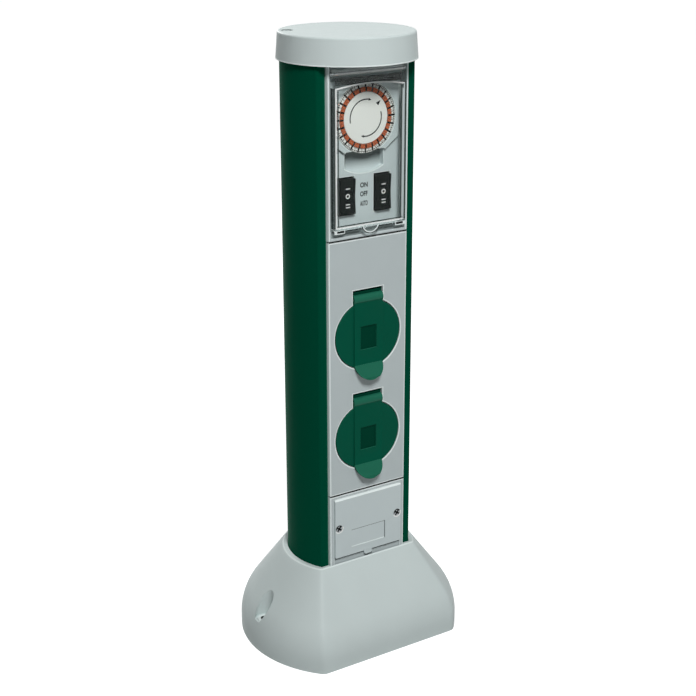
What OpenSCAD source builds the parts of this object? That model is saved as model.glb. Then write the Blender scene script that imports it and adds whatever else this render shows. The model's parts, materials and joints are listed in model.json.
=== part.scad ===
// Garden socket post: extruded post with flat front, round cap, flared foot, day timer behind a clear
// cover, two sockets with spring lids and a terminal compartment.
// Millimetres. X right, Y back, Z up, front faces -Y, origin on the ground under the middle of the foot.
// Distances called d or depth are measured from the post axis towards the front.

/* [Post] */
// overall height
total_h = 450; // [445:1:460]
// outer radius of the extruded post
post_r = 46; // [45.5:0.1:47]
// distance of the flat front from the post axis
flat_d = 25; // [24.5:0.1:25.5]
// wall of the extrusion
post_wall = 2.5; // [2.2:0.1:2.8]
// radius of the front corners
corner_r = 3; // [2:0.25:3.5]

/* [Foot] */
// height of the foot up to the post
base_h = 66.5; // [65:0.5:68]
// outward flare of the round sides
base_flare = 36.8; // [36:0.2:39]
// outward flare of the flat front
front_flare = 34.6; // [34:0.2:37]
// height of the upright edge at the ground
foot_h = 9; // [8:0.5:10]
// radius of the bulge above that edge
arc_r = 40; // [38:0.5:42]
// wall of the foot
base_wall = 3; // [2.5:0.1:3.5]
// distance of the ground screws from the middle
hole_x = 74; // [73:0.5:75]
// radius of the ground screw holes
hole_r = 2.75; // [2.25:0.25:3.25]
// radius of the screw pockets
pocket_r = 7; // [6.5:0.1:7.2]
// height of the floor of the screw pockets
pocket_z = 22; // [20:0.5:24]

/* [Cap] */
// height of the cap
cap_h = 18.5; // [17:0.5:19]
// overhang of the cap rim beyond the post
cap_over = 2.4; // [1.8:0.1:2.6]
// thickness of the cap top
cap_t = 3; // [2.5:0.1:3.2]

/* [Front modules] */
// half width of the front modules
panel_half = 32.2; // [32:0.1:32.6]
// how far the modules stand out of the flat front
panel_proud = 2; // [1.8:0.1:2.2]
// height of the seam between terminal and socket module
seam_low = 122; // [121:0.5:123]
// height of the timer module below the cap
timer_h = 119; // [118:0.5:119.5]
// width of the seams
seam_gap = 0.8; // [0.3:0.1:1]

/* [Socket lids] */
// half width of a lid
lid_rx = 26.7; // [26:0.1:27]
// half height of a lid
lid_rz = 24.6; // [24.2:0.1:25]
// gap between a lid and its cut-out
lid_gap = 0.7; // [0.4:0.05:0.9]
// height of the lower lid centre as a share of the socket module
lid_low_share = 0.222; // [0.218:0.001:0.23]
// distance between the lid centres as a share of the socket module
lid_pitch_share = 0.404; // [0.4:0.001:0.408]
// width of the raised band and hinge of a lid
band_w = 23.7; // [23:0.1:24.2]
// radius of the round socket well
well_r = 19.5; // [19:0.1:19.7]
// depth of the socket well
well_depth = 17.5; // [16.5:0.1:18]

/* [Timer] */
// width of the rails beside the clear cover
rail_w = 2.4; // [2.2:0.1:3.2]
// how far the clear cover stands out of the rails
cover_proud = 2; // [1.2:0.1:2.2]
// height of the raised surround of the dial
surround_rise = 1.8; // [0.9:0.1:2]
// distance of the dial centre below the cap
dial_drop = 37.5; // [37:0.5:38.5]
// outer radius of the dial ring
dial_r = 23.8; // [23.4:0.1:24]
// radius of the fixed centre disc
disc_r = 17.4; // [17:0.1:17.6]
// number of trip segments
trip_count = 48; // [24:24:48]
// half distance between the rockers
rocker_x = 14.55; // [14.2:0.05:14.8]
// height of the rocker middle above the seam below it
rocker_up = 28.9; // [28:0.1:29.5]
// width of a rocker
rocker_w = 12.5; // [12:0.1:12.8]
// half height of a rocker
rocker_half = 12.2; // [11.8:0.1:12.3]

/* [Terminal cover] */
// width of the terminal cover
term_w = 57.5; // [56.5:0.1:58]
// lower edge of the terminal cover
term_low = 71.8; // [71.4:0.1:72.2]
// upper edge of the terminal cover
term_high = 119; // [118:0.1:119.4]

/* [Clearances] */
// gap round pieces that move
run_gap = 0.4; // [0.3:0.05:0.5]
// gap round pieces that are pushed together
fit_gap = 0.3; // [0.2:0.05:0.4]
// radial play of pins in their bores
pin_gap = 0.08; // [0.05:0.01:0.1]
// radial play of pressed pins
press_gap = 0.02; // [0.02:0.01:0.04]

/* [Hidden] */
$fn = 48;
// foot and post
base_r = post_r + base_flare;
base_front = flat_d + front_flare;
axis_y = (base_front - base_r)/2;
base_lip = 5;
front_lip = 4.2;
rim_h = 1.5;
rim_w = 1.8;
arc_kink = 3.5;
seat_z = base_h - 8.5;
plate_t = 3;
boss_wall = 2.5;
boss_half = pocket_r + boss_wall;
port_x = 35.8;
port_y = 19;
port_r = 3.6;
screw_r = 1.5;
gland_r = 8;
// cap
cap_r = post_r + cap_over;
cap_low = total_h - cap_h;
cap_taper = 1.3;
cap_edge = 1.5;
cap_wall = 2.2;
recess_h = 1.4;
// front planes
face_d = flat_d + panel_proud;
panel_t = 3;
back_d = face_d - panel_t;
margin_d = flat_d - post_wall;
flange_d = margin_d - 2;
flange_half = panel_half + 3.6;
web_half = panel_half - 2.7;
slide_gap = 0.2;
panel_top = total_h - cap_t;
seam_high = cap_low - timer_h;
// lids
socket_h = seam_high - seam_low;
lid_low_z = seam_low + lid_low_share*socket_h;
lid_high_z = lid_low_z + lid_pitch_share*socket_h;
mark_half = 6.7;
mark_low = 10.5;
mark_high = 6.9;
tab_start = 21.5;
tab_low = 32;
tab_out = 5.7;
tab_r = 0.46*band_w;
lid_t = 2;
band_t = 0.9;
lid_back = face_d - lid_t;
lid_axis_up = 26.5;
lid_axis_d = lid_back - 0.1;
roll_r = 3.7;
lid_pin_r = 1.4;
spring_wire_r = 0.35;
spring_r = lid_pin_r + 0.8;
spring_half = 2.2;
roll_pocket_r = spring_r + spring_wire_r + 0.35;
roll_slot_half = spring_half + 2.8;
notch_half = band_w/2 + run_gap + 0.2;
notch_up = 33.7;
// socket inserts
flange_drop = 4.5;
socket_back = back_d - well_depth - 5;
sleeve_x = 9.5;
sleeve_r = 3.5;
sleeve_back = -9;
earth_w = 6;
earth_t = 0.8;
// timer
dial_z = cap_low - dial_drop;
plate_d = face_d - 6;
plate_back = plate_d - 2.5;
win_half = panel_half - rail_w;
win_low = seam_high + 6.5;
win_high = cap_low - 1;
cover_d = face_d + cover_proud;
cover_t = 1.6;
cover_half = win_half - run_gap - 0.1;
cover_low = win_low + 1;
cover_axis_d = flat_d;
cover_axis_z = win_high - 5;
rod_r = 1.25;
rod_half = panel_half - 0.6;
ring_face = plate_d + surround_rise;
trip_face = ring_face + 0.8;
disc_face = ring_face + 0.4;
disc_back = disc_face - 1.7;
ring_back = plate_back - 1;
case_front = ring_back - fit_gap;
case_back = -8;
hub_r = 8;
case_half = dial_r + 0.2;
case_down = 21.5;
case_up = 22;
stud_r = 2.4;
stud_x = 21.5;
stud_down = 18.5;
stud_up = 19;
trip_in = disc_r + run_gap;
trip_out = dial_r - 3.2;
trip_floor = disc_back - 1.1;
scoop_half = 15.7;
scoop_drop = 37.7;
scoop_low = dial_z - scoop_drop;
scoop_top = dial_z - 22;
scoop_r = 32;
scoop_depth = plate_d - ring_back + 1.2;
scoop_wall = 1.8;
surround_up = 26;
surround_side = 14.5;
surround_low = 23;
window_edge = 2.7;
window_top = cap_low - 13.8;
window_rise = 0.8;
window_r = 153;
// rockers
rocker_z = seam_high + rocker_up;
slot_half_w = rocker_w/2 + run_gap;
slot_half_h = rocker_half + 1.2;
rocker_axis_d = plate_back - 2.5;
body_wall = 1.6;
// terminal module
frame_d = face_d;
frame_back = frame_d - 3;
term_mid = (term_low + term_high)/2;
term_d = frame_d + 1.4;
term_back = frame_d - 0.8;
term_screw_x = term_w/2 - 3.25;
tray_half = 25;
tray_low = term_low + 2.2;
tray_high = term_high - 4;
tray_back = 4;
wire_r = 1.2;

green = [0.0, 0.24, 0.17];
lid_green = [0.0, 0.30, 0.21];
grey = [0.66, 0.69, 0.70];
pale = [0.76, 0.80, 0.80];
black = [0.06, 0.07, 0.07];
white = [0.88, 0.88, 0.86];
steel = [0.72, 0.73, 0.75];
brass = [0.80, 0.62, 0.28];

// Helpers

// moves a piece from the post axis to the row frame
module place() {
    translate([0, axis_y, 0]) children();
}

// extrudes a front view (x, z) between two distances from the axis
module front(d0, d1) {
    translate([0, -d1, 0]) rotate([90, 0, 0]) linear_extrude(d0 - d1) children();
}

// extrudes a side view (y, z) along x
module along_x(half) {
    rotate([90, 0, 90]) linear_extrude(2*half, center = true) children();
}

// a bar along x through a point of the side view
module bar_x(r, half, d, z) {
    translate([-half, -d, z]) rotate([0, 90, 0]) cylinder(r = r, h = 2*half);
}

// a round along y between two distances from the axis
module round_y(r, d0, d1, x, z) {
    translate([x, -d1, z]) rotate([90, 0, 0]) cylinder(r = r, h = d0 - d1);
}

module box2(x0, x1, z0, z1) {
    translate([x0, z0]) square([x1 - x0, z1 - z0]);
}

module plate2(w, h, r) {
    square([w - 2*r, h], center = true);
    square([w, h - 2*r], center = true);
    for (sx = [-1, 1], sz = [-1, 1]) translate([sx*(w/2 - r), sz*(h/2 - r)]) circle(r);
}

module d_shape(r, d) {
    intersection() {
        circle(r, $fn = 96);
        translate([-2*r, -d]) square([4*r, 4*r]);
    }
}

// rounds the two front corners of such a shape, in short straight stretches
module corner_cuts(r, d) {
    x = sqrt(pow(r - corner_r, 2) - pow(d - corner_r, 2));
    turn = atan2(x, d - corner_r);
    for (s = [0, 1]) mirror([s, 0]) polygon([
        [x - 0.4, -d - 1], [x - 0.4, -d - 0.1],
        for (k = [1:7]) [x + corner_r*sin(k*turn/8), corner_r - d - corner_r*cos(k*turn/8)],
        [x, corner_r - d]*(r + 0.5)/(r - corner_r), [r + 1, -d - 1]
    ]);
}

// outline of the post with the front modules in it
module post_outline(gap) {
    d_shape(post_r + gap, flat_d + gap);
    translate([-panel_half - gap, -face_d - gap]) square([2*(panel_half + gap), face_d]);
}

module lid2(extra) {
    w = lid_rx - lid_rz;
    square([2*w, 2*(lid_rz + extra)], center = true);
    for (s = [-1, 1]) translate([s*w, 0]) circle(lid_rz + extra, $fn = 72);
}

module cross_slot(r) {
    square([2*r, 0.3*r], center = true);
    square([0.3*r, 2*r], center = true);
}

// a round wire in the plane x = const along a cubic curve given by four (y, z) points
function curve(p, t) = pow(1 - t, 3)*p[0] + 3*pow(1 - t, 2)*t*p[1] + 3*(1 - t)*t*t*p[2] + pow(t, 3)*p[3];
function slope(p, t) = 3*pow(1 - t, 2)*(p[1] - p[0]) + 6*(1 - t)*t*(p[2] - p[1]) + 3*t*t*(p[3] - p[2]);

module wire(x, p, r) {
    n = 8;
    steps = 14;
    pts = [for (i = [0:steps]) let (t = i/steps, c = curve(p, t), s = slope(p, t), u = s/norm(s))
        for (k = [0:n - 1]) [x + r*cos(360*k/n), c[0] - u[1]*r*sin(360*k/n), c[1] + u[0]*r*sin(360*k/n)]];
    sides = [for (i = [0:steps - 1], k = [0:n - 1])
        [i*n + k, i*n + (k + 1)%n, (i + 1)*n + (k + 1)%n, (i + 1)*n + k]];
    caps = [[for (k = [n - 1:-1:0]) k], [for (k = [0:n - 1]) steps*n + k]];
    polyhedron(pts, concat(sides, caps));
}

// Foot, post and cap

// side angle of a flare: the straight side cuts the bulge at a very flat corner
function side_a(flare, lip) = let (x = lip - flare + arc_r, z = base_h - rim_h - foot_h)
    atan2(z, x) - acos(arc_r*cos(arc_kink)/norm([x, z]));

// half profile of a flare from the foot up to the rim
module flare2(r0, flare, lip) {
    a = side_a(flare, lip);
    arc_x = r0 + flare - arc_r;
    intersection() {
        polygon([
            [0, 0], [r0 + lip + (base_h - rim_h)*tan(a), 0], [r0 + lip, base_h - rim_h],
            [r0 + lip - rim_w, base_h], [0, base_h]
        ]);
        union() {
            square([r0 + flare, foot_h]);
            translate([arc_x, foot_h]) circle(arc_r, $fn = 120);
            polygon([
                [-1, foot_h], [arc_x, foot_h], [arc_x + 2*arc_r*cos(a), foot_h + 2*arc_r*sin(a)],
                [arc_x + 2*arc_r*cos(a), 2*base_h], [-1, 2*base_h]
            ]);
        }
    }
}

// the same flare with straight stretches, for the hollow inside
module hollow2(r0, flare, lip) {
    a = side_a(flare, lip);
    arc_x = r0 + flare - arc_r;
    polygon([
        [0, -1], [r0 + flare, -1], [r0 + flare, foot_h],
        for (k = [0.5, 1]) [arc_x + arc_r*cos(k*a), foot_h + arc_r*sin(k*a)],
        [r0 + lip, base_h], [0, base_h]
    ]);
}

// a round flare cut by a straight front flare; the two profiles are its children
module foot_shape(top) {
    intersection() {
        rotate_extrude($fn = 120) children(0);
        along_x(base_r + 5) {
            mirror([1, 0]) children(1);
            translate([0, -1]) square([base_r + 5, base_h + 1]);
        }
        translate([-base_r - 5, -base_r - 5, -1]) cube([2*base_r + 10, 2*base_r + 10, top + 1]);
    }
}

module base_foot() {
    color(pale) place() difference() {
        foot_shape(base_h) {
            flare2(post_r, base_flare, base_lip);
            flare2(flat_d, front_flare, front_lip);
        }
        difference() {
            foot_shape(seat_z - plate_t) {
                hollow2(post_r - base_wall, base_flare, base_lip);
                hollow2(flat_d - base_wall, front_flare, front_lip);
            }
            for (s = [-1, 1]) translate([s*hole_x - boss_half, -boss_half, -2]) {
                cube([2*boss_half, 2*boss_half, base_h + 4]);
            }
        }
        translate([0, 0, seat_z]) linear_extrude(base_h) post_outline(fit_gap);
        for (s = [-1, 1]) {
            translate([s*hole_x, 0, pocket_z]) cylinder(r = pocket_r, h = base_h);
            translate([s*hole_x, 0, -1]) cylinder(r = hole_r, h = base_h);
            translate([s*port_x, port_y, seat_z - plate_t - 1]) cylinder(r = screw_r + fit_gap, h = plate_t + 2);
        }
        translate([0, 0, seat_z - plate_t - 1]) cylinder(r = gland_r + fit_gap, h = plate_t + 2);
    }
}

module post_shell() {
    color(green) place() translate([0, 0, seat_z]) linear_extrude(total_h - cap_t - seat_z) difference() {
        union() {
            difference() {
                d_shape(post_r, flat_d);
                corner_cuts(post_r, flat_d);
                d_shape(post_r - post_wall, flat_d - post_wall);
            }
            for (s = [-1, 1]) translate([s*port_x, port_y]) circle(port_r);
        }
        translate([-panel_half - slide_gap, -flat_d - 1]) square([2*(panel_half + slide_gap), post_wall + 2]);
        for (s = [-1, 1]) translate([s*port_x, port_y]) circle(screw_r + 0.1);
    }
}

module top_cap() {
    top_r = cap_r - cap_taper;
    color(pale) place() difference() {
        rotate_extrude($fn = 96) {
            polygon([[0, cap_low], [cap_r, cap_low], [top_r, total_h - cap_edge], [0, total_h - cap_edge]]);
            translate([0, total_h - cap_edge - 1]) square([top_r - cap_edge, cap_edge + 1]);
            translate([top_r - cap_edge, total_h - cap_edge]) circle(cap_edge);
        }
        translate([0, 0, cap_low - 1]) linear_extrude(cap_h - cap_t + 1) {
            post_outline(fit_gap);
            intersection() {
                circle(cap_r - cap_wall - 0.5, $fn = 96);
                translate([-cap_r, -2*cap_r]) square([2*cap_r, 2*cap_r - face_d - fit_gap - cap_wall]);
            }
        }
        translate([-port_x, port_y, total_h - recess_h]) cylinder(r = 4.4, h = recess_h + 1);
        translate([-port_x, port_y, total_h - cap_t - 1]) cylinder(r = screw_r + fit_gap, h = cap_t + 2);
    }
}

module cap_screw() {
    color(steel) place() translate([-port_x, port_y, total_h - recess_h]) difference() {
        union() {
            cylinder(r = 3.3, h = 1.1);
            translate([0, 0, -20]) cylinder(r = screw_r, h = 20.5);
        }
        translate([0, 0, 0.5]) linear_extrude(1) cross_slot(2);
    }
}

module base_screws() {
    color(steel) place() for (s = [-1, 1]) translate([s*port_x, port_y, seat_z - plate_t]) difference() {
        union() {
            translate([0, 0, -2.4]) cylinder(r = 3.2, h = 2.4);
            translate([0, 0, -0.5]) cylinder(r = screw_r, h = plate_t + 16);
        }
        translate([0, 0, -3.4]) linear_extrude(2) cross_slot(2);
    }
}

module cable_gland() {
    color(black) place() difference() {
        union() {
            translate([0, 0, seat_z - 13]) cylinder(r = gland_r, h = 14);
            translate([0, 0, seat_z]) cylinder(r = 11, h = 5, $fn = 6);
            translate([0, 0, seat_z + 4]) cylinder(r = 8.6, h = 4);
        }
        translate([0, 0, seat_z - 14]) cylinder(r = 5, h = 24);
    }
}

module gland_nut() {
    color(black) place() translate([0, 0, seat_z - plate_t - 5]) difference() {
        cylinder(r = 11.5, h = 5, $fn = 6);
        translate([0, 0, -1]) cylinder(r = gland_r + press_gap, h = 7);
    }
}

// Timer module

module timer_frame() {
    low = seam_high + seam_gap/2;
    color(grey) place() difference() {
        union() {
            front(face_d, plate_d) difference() {
                box2(-panel_half, panel_half, low, panel_top);
                box2(-win_half, win_half, win_low, win_high);
            }
            front(margin_d, plate_d) {
                box2(panel_half - 1, flange_half, low, panel_top);
                box2(-flange_half, 1 - panel_half, low, panel_top);
            }
        }
        along_x(win_half) polygon([
            [-face_d - 1, win_low - 5], [-face_d, win_low - 5], [-face_d + 3, win_low],
            [-face_d + 3, win_low + 1], [-face_d - 1, win_low + 1]
        ]);
        bar_x(rod_r + press_gap, rod_half + 0.2, cover_axis_d, cover_axis_z);
    }
}

// finger scoop under the dial: an arched outline, hollowed out as a cove that is deepest at the dial
module scoop_cut() {
    rise = scoop_top - 1 - scoop_low;
    intersection() {
        front(face_d, plate_d - scoop_depth - 1) intersection() {
            box2(-scoop_half, scoop_half, scoop_low - 2, scoop_top);
            translate([0, scoop_low + scoop_r]) circle(scoop_r, $fn = 96);
        }
        along_x(scoop_half + 1) polygon([
            [-face_d, scoop_low],
            for (a = [0:15:90]) [scoop_depth*sin(a) - plate_d, scoop_low + rise*(1 - cos(a))],
            [scoop_depth - plate_d, scoop_top + 1], [-face_d, scoop_top + 1]
        ]);
    }
}

module timer_faceplate() {
    edge = cover_half - 2.1;
    color(grey) place() difference() {
        union() {
            front(plate_d, plate_back) box2(1 - panel_half, panel_half - 1, seam_high + 2, panel_top - 2);
            front(ring_face, plate_d - 1) polygon([
                [-edge, dial_z - surround_side], [-scoop_half - 0.6, dial_z - surround_low],
                [scoop_half + 0.6, dial_z - surround_low], [edge, dial_z - surround_side],
                [edge, dial_z + surround_up], [-edge, dial_z + surround_up]
            ]);
            front(plate_back + 0.5, plate_d - scoop_depth - scoop_wall) {
                box2(-scoop_half - scoop_wall, scoop_half + scoop_wall, scoop_low + 1, scoop_top);
            }
        }
        round_y(dial_r + 0.5, face_d, 0, 0, dial_z, $fn = 96);
        scoop_cut();
        for (s = [-1, 1]) front(face_d, plate_back - 1) {
            translate([s*rocker_x, rocker_z]) square([2*slot_half_w, 2*slot_half_h], center = true);
        }
    }
}

module timer_cover() {
    top = cover_axis_z + 1.5;
    color([0.85, 0.92, 0.92, 0.35]) place() difference() {
        union() {
            front(cover_d, cover_d - cover_t) {
                translate([0, (cover_low + top)/2]) plate2(2*cover_half, top - cover_low, 2);
            }
            front(cover_d + window_rise, cover_d - cover_t) intersection() {
                box2(window_edge - cover_half, cover_half - window_edge, cover_low + window_edge, cover_axis_z);
                translate([0, window_top - window_r]) circle(window_r, $fn = 240);
            }
            for (s = [-1, 1]) front(cover_d - 1, plate_d + 0.5) {
                translate([s*(cover_half - 0.75), (cover_low + cover_axis_z)/2]) {
                    square([1.5, cover_axis_z - cover_low - 2], center = true);
                }
            }
            front(cover_d - 1, plate_d + 1.2) box2(1 - cover_half, cover_half - 1, cover_low, cover_low + 1.5);
            bar_x(2.6, cover_half - 0.3, cover_axis_d, cover_axis_z);
            front(cover_d + 1.2, cover_d - 0.8) intersection() {
                translate([0, cover_low + 3.2]) circle(7);
                box2(-8, 8, cover_low - 5, cover_low + 1);
            }
            for (s = [-1, 1]) front(cover_d + 0.6, cover_d - 0.9) {
                translate([s*(cover_half - 4.4), cover_low - 0.5]) plate2(8.8, 2.6, 1.2);
            }
        }
        bar_x(rod_r + pin_gap, cover_half + 1, cover_axis_d, cover_axis_z);
    }
}

module cover_rod() {
    color(steel) place() bar_x(rod_r, rod_half, cover_axis_d, cover_axis_z);
}

module timer_case() {
    color(black) place() {
        front(case_front, case_back) box2(-case_half, case_half, dial_z - case_down, dial_z + case_up);
        round_y(hub_r, disc_back, case_front - 1, 0, dial_z);
        for (s = [-1, 1], z = [dial_z - stud_down, dial_z + stud_up]) {
            round_y(stud_r, plate_back, case_front - 1, s*stud_x, z);
        }
    }
}

module timer_motor() {
    color(steel) place() {
        round_y(13, case_back, case_back - 11, 0, dial_z);
        round_y(4, case_back - 10, case_back - 13, 0, dial_z);
    }
}

module dial_disc() {
    color(white) place() round_y(disc_r, disc_face, disc_back, 0, dial_z, $fn = 96);
}

module dial_ring() {
    inner = hub_r + pin_gap;
    color(white) place() translate([0, 0, dial_z]) rotate([90, 0, 0]) rotate_extrude($fn = 96) {
        translate([inner, ring_back]) square([dial_r - inner, trip_floor - ring_back]);
        translate([inner, ring_back]) square([disc_r - 0.6 - inner, disc_back - fit_gap - ring_back]);
        translate([trip_out + 0.2, ring_back]) square([dial_r - trip_out - 0.2, ring_face - ring_back]);
    }
}

module trip_segments() {
    step = 360/trip_count;
    color([0.87, 0.36, 0.20]) place() translate([0, 0, dial_z]) front(trip_face, trip_floor) difference() {
        circle(trip_out, $fn = 96);
        circle(trip_in, $fn = 96);
        for (i = [0:trip_count - 1]) rotate(i*step) {
            translate([0, -(i%2 == 0 ? 0.35 : 0.15)]) square([dial_r, i%2 == 0 ? 0.7 : 0.3]);
        }
    }
}

module switch_body(s) {
    half_w = slot_half_w + body_wall;
    half_h = slot_half_h + body_wall;
    color(black) place() difference() {
        front(plate_back, -2) translate([s*rocker_x, rocker_z]) square([2*half_w, 2*half_h], center = true);
        front(plate_back + 1, rocker_axis_d - 7) {
            translate([s*rocker_x, rocker_z]) square([2*slot_half_w, 2*slot_half_h], center = true);
        }
        translate([s*rocker_x, 0, 0]) bar_x(1.5 + pin_gap, half_w + 1, rocker_axis_d, rocker_z);
    }
}

module switch_body_left() {
    switch_body(-1);
}

module switch_body_right() {
    switch_body(1);
}

module rocker(s) {
    color(black) place() translate([s*rocker_x, -rocker_axis_d, rocker_z]) {
        along_x(rocker_w/2) polygon([
            [-7.2, 0], [-8, rocker_half], [-4.4, rocker_half + 0.4], [2, rocker_half - 3.7], [3.6, 3.5],
            [3.6, -3.5], [2, 3.7 - rocker_half], [-4.4, -rocker_half - 0.4], [-8, -rocker_half]
        ]);
        bar_x(1.5, slot_half_w + body_wall - 0.3, 0, 0);
    }
}

module rocker_left() {
    rocker(-1);
}

module rocker_right() {
    rocker(1);
}

module switch_tabs() {
    color(brass) place() for (s = [-1, 1], k = [-1, 0, 1]) {
        translate([s*rocker_x - 2.4, 2, rocker_z + 9*k - 0.4]) cube([4.8, 7, 0.8]);
    }
}

// Socket module

module pin_lugs(zc) {
    for (s = [-1, 1]) front(back_d + 0.5, lid_axis_d - 3.1) {
        translate([s*(notch_half + 2.1), zc + lid_axis_up]) square([4.2, 6], center = true);
    }
}

module socket_panel() {
    low = seam_low + seam_gap/2;
    high = seam_high - seam_gap/2;
    color(grey) place() difference() {
        union() {
            front(face_d, back_d) difference() {
                box2(-panel_half, panel_half, low, high);
                for (zc = [lid_low_z, lid_high_z]) translate([0, zc]) {
                    lid2(lid_gap);
                    box2(-notch_half, notch_half, 0, notch_up);
                }
            }
            front(back_d + 0.5, flange_d) {
                box2(web_half, panel_half, low, high);
                box2(-panel_half, -web_half, low, high);
            }
            front(margin_d, flange_d) {
                box2(web_half, flange_half, low, high);
                box2(-flange_half, -web_half, low, high);
            }
            for (zc = [lid_low_z, lid_high_z]) pin_lugs(zc);
        }
        for (zc = [lid_low_z, lid_high_z]) {
            bar_x(lid_pin_r + press_gap, notch_half + 3.4, lid_axis_d, zc + lid_axis_up);
        }
    }
}

module lid(zc) {
    half = band_w/2;
    front_d = face_d + band_t;
    color(lid_green) place() difference() {
        union() {
            front(face_d, lid_back) translate([0, zc]) lid2(0);
            front(front_d, lid_back) box2(-half, half, zc - 22.8, zc + lid_axis_up);
            bar_x(roll_r, half + 0.1, lid_axis_d, zc + lid_axis_up);
            intersection() {
                along_x(half) translate([0, zc]) polygon([
                    [-front_d, -tab_start], [-front_d - tab_out, 1.4 - tab_low],
                    [1.2 - front_d - tab_out, -tab_low], [-face_d - 0.5, -tab_start - 2.9],
                    [0.2 - face_d, -tab_start - 1]
                ]);
                front(face_d + 20, lid_back) translate([0, zc - tab_low + tab_start]) {
                    plate2(band_w, 2*tab_start, tab_r);
                }
            }
        }
        bar_x(lid_pin_r + pin_gap, half + 1, lid_axis_d, zc + lid_axis_up);
        bar_x(roll_pocket_r, roll_slot_half, lid_axis_d, zc + lid_axis_up);
        translate([-roll_slot_half, 1 - lid_axis_d, zc + lid_axis_up - roll_r - 0.3]) {
            cube([2*roll_slot_half, roll_r + 1, 2*roll_r + 1]);
        }
        front(front_d + 1, front_d - 1) box2(-mark_half, mark_half, zc - mark_low, zc + mark_high);
    }
}

module lid_upper() {
    lid(lid_high_z);
}

module lid_lower() {
    lid(lid_low_z);
}

module lid_seal(zc) {
    color(black) place() front(lid_back, lid_back - 0.7) translate([0, zc]) difference() {
        circle(well_r + 2.8, $fn = 72);
        circle(well_r + 0.8, $fn = 72);
    }
}

module lid_seal_upper() {
    lid_seal(lid_high_z);
}

module lid_seal_lower() {
    lid_seal(lid_low_z);
}

module lid_pin(zc) {
    color(steel) place() bar_x(lid_pin_r, notch_half + 3.2, lid_axis_d, zc + lid_axis_up);
}

module lid_pin_upper() {
    lid_pin(lid_high_z);
}

module lid_pin_lower() {
    lid_pin(lid_low_z);
}

// closing spring: a coil round the pin with one leg that stands on the socket flange
module lid_spring(zc) {
    n = 6;
    turns = 4;
    per = 14;
    steps = turns*per;
    r = spring_wire_r;
    leg = [for (k = [0:n - 1]) [r*sin(360*k/n) - spring_half, spring_r + r*cos(360*k/n), -flange_drop]];
    coil = [for (i = [0:steps]) let (a = 360*i/per + 90, x = spring_half*(2*i/steps - 1))
        for (k = [0:n - 1]) let (q = spring_r + r*cos(360*k/n))
            [x + r*sin(360*k/n), q*sin(a), -q*cos(a)]];
    rings = steps + 2;
    sides = [for (i = [0:rings - 2], k = [0:n - 1])
        [i*n + k, (i + 1)*n + k, (i + 1)*n + (k + 1)%n, i*n + (k + 1)%n]];
    caps = [[for (k = [0:n - 1]) k], [for (k = [n - 1:-1:0]) (rings - 1)*n + k]];
    color(steel) place() translate([0, -lid_axis_d, zc + lid_axis_up]) {
        polyhedron(concat(leg, coil), concat(sides, caps));
    }
}

module lid_spring_upper() {
    lid_spring(lid_high_z);
}

module lid_spring_lower() {
    lid_spring(lid_low_z);
}

module socket(zc) {
    floor_d = back_d - well_depth;
    cup_r = well_r + 2.1;
    color(pale) place() difference() {
        union() {
            front(back_d, back_d - 2.5) box2(0.2 - web_half, web_half - 0.2, zc - 27, zc + lid_axis_up - flange_drop);
            round_y(cup_r, back_d - 1, socket_back, 0, zc, $fn = 72);
        }
        round_y(well_r, back_d + 1, floor_d, 0, zc, $fn = 72);
        for (s = [-1, 1]) {
            round_y(2.7, floor_d + 1, socket_back - 1, s*sleeve_x, zc);
            round_y(sleeve_r + pin_gap, floor_d - 1.5, socket_back - 1, s*sleeve_x, zc);
            front(floor_d + 1, socket_back - 1) translate([0, zc + s*(well_r - 0.9)]) {
                square([earth_w + 0.4, earth_t + 0.4], center = true);
            }
        }
    }
}

module socket_upper() {
    socket(lid_high_z);
}

module socket_lower() {
    socket(lid_low_z);
}

module contacts(zc) {
    floor_d = back_d - well_depth;
    color(brass) place() for (s = [-1, 1]) difference() {
        round_y(sleeve_r, floor_d - 1.5, sleeve_back, s*sleeve_x, zc);
        round_y(2.45, floor_d, sleeve_back + 4, s*sleeve_x, zc);
    }
}

module contacts_upper() {
    contacts(lid_high_z);
}

module contacts_lower() {
    contacts(lid_low_z);
}

module earth_clip(zc) {
    color(steel) place() {
        front(socket_back, socket_back - earth_t) {
            box2(-earth_w/2, earth_w/2, zc - well_r + 0.5, zc + well_r - 0.5);
        }
        for (s = [-1, 1]) front(back_d - 4.5, socket_back - 0.4) {
            translate([0, zc + s*(well_r - 0.9)]) square([earth_w, earth_t], center = true);
        }
    }
}

module earth_clip_upper() {
    earth_clip(lid_high_z);
}

module earth_clip_lower() {
    earth_clip(lid_low_z);
}

// Terminal module

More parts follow.
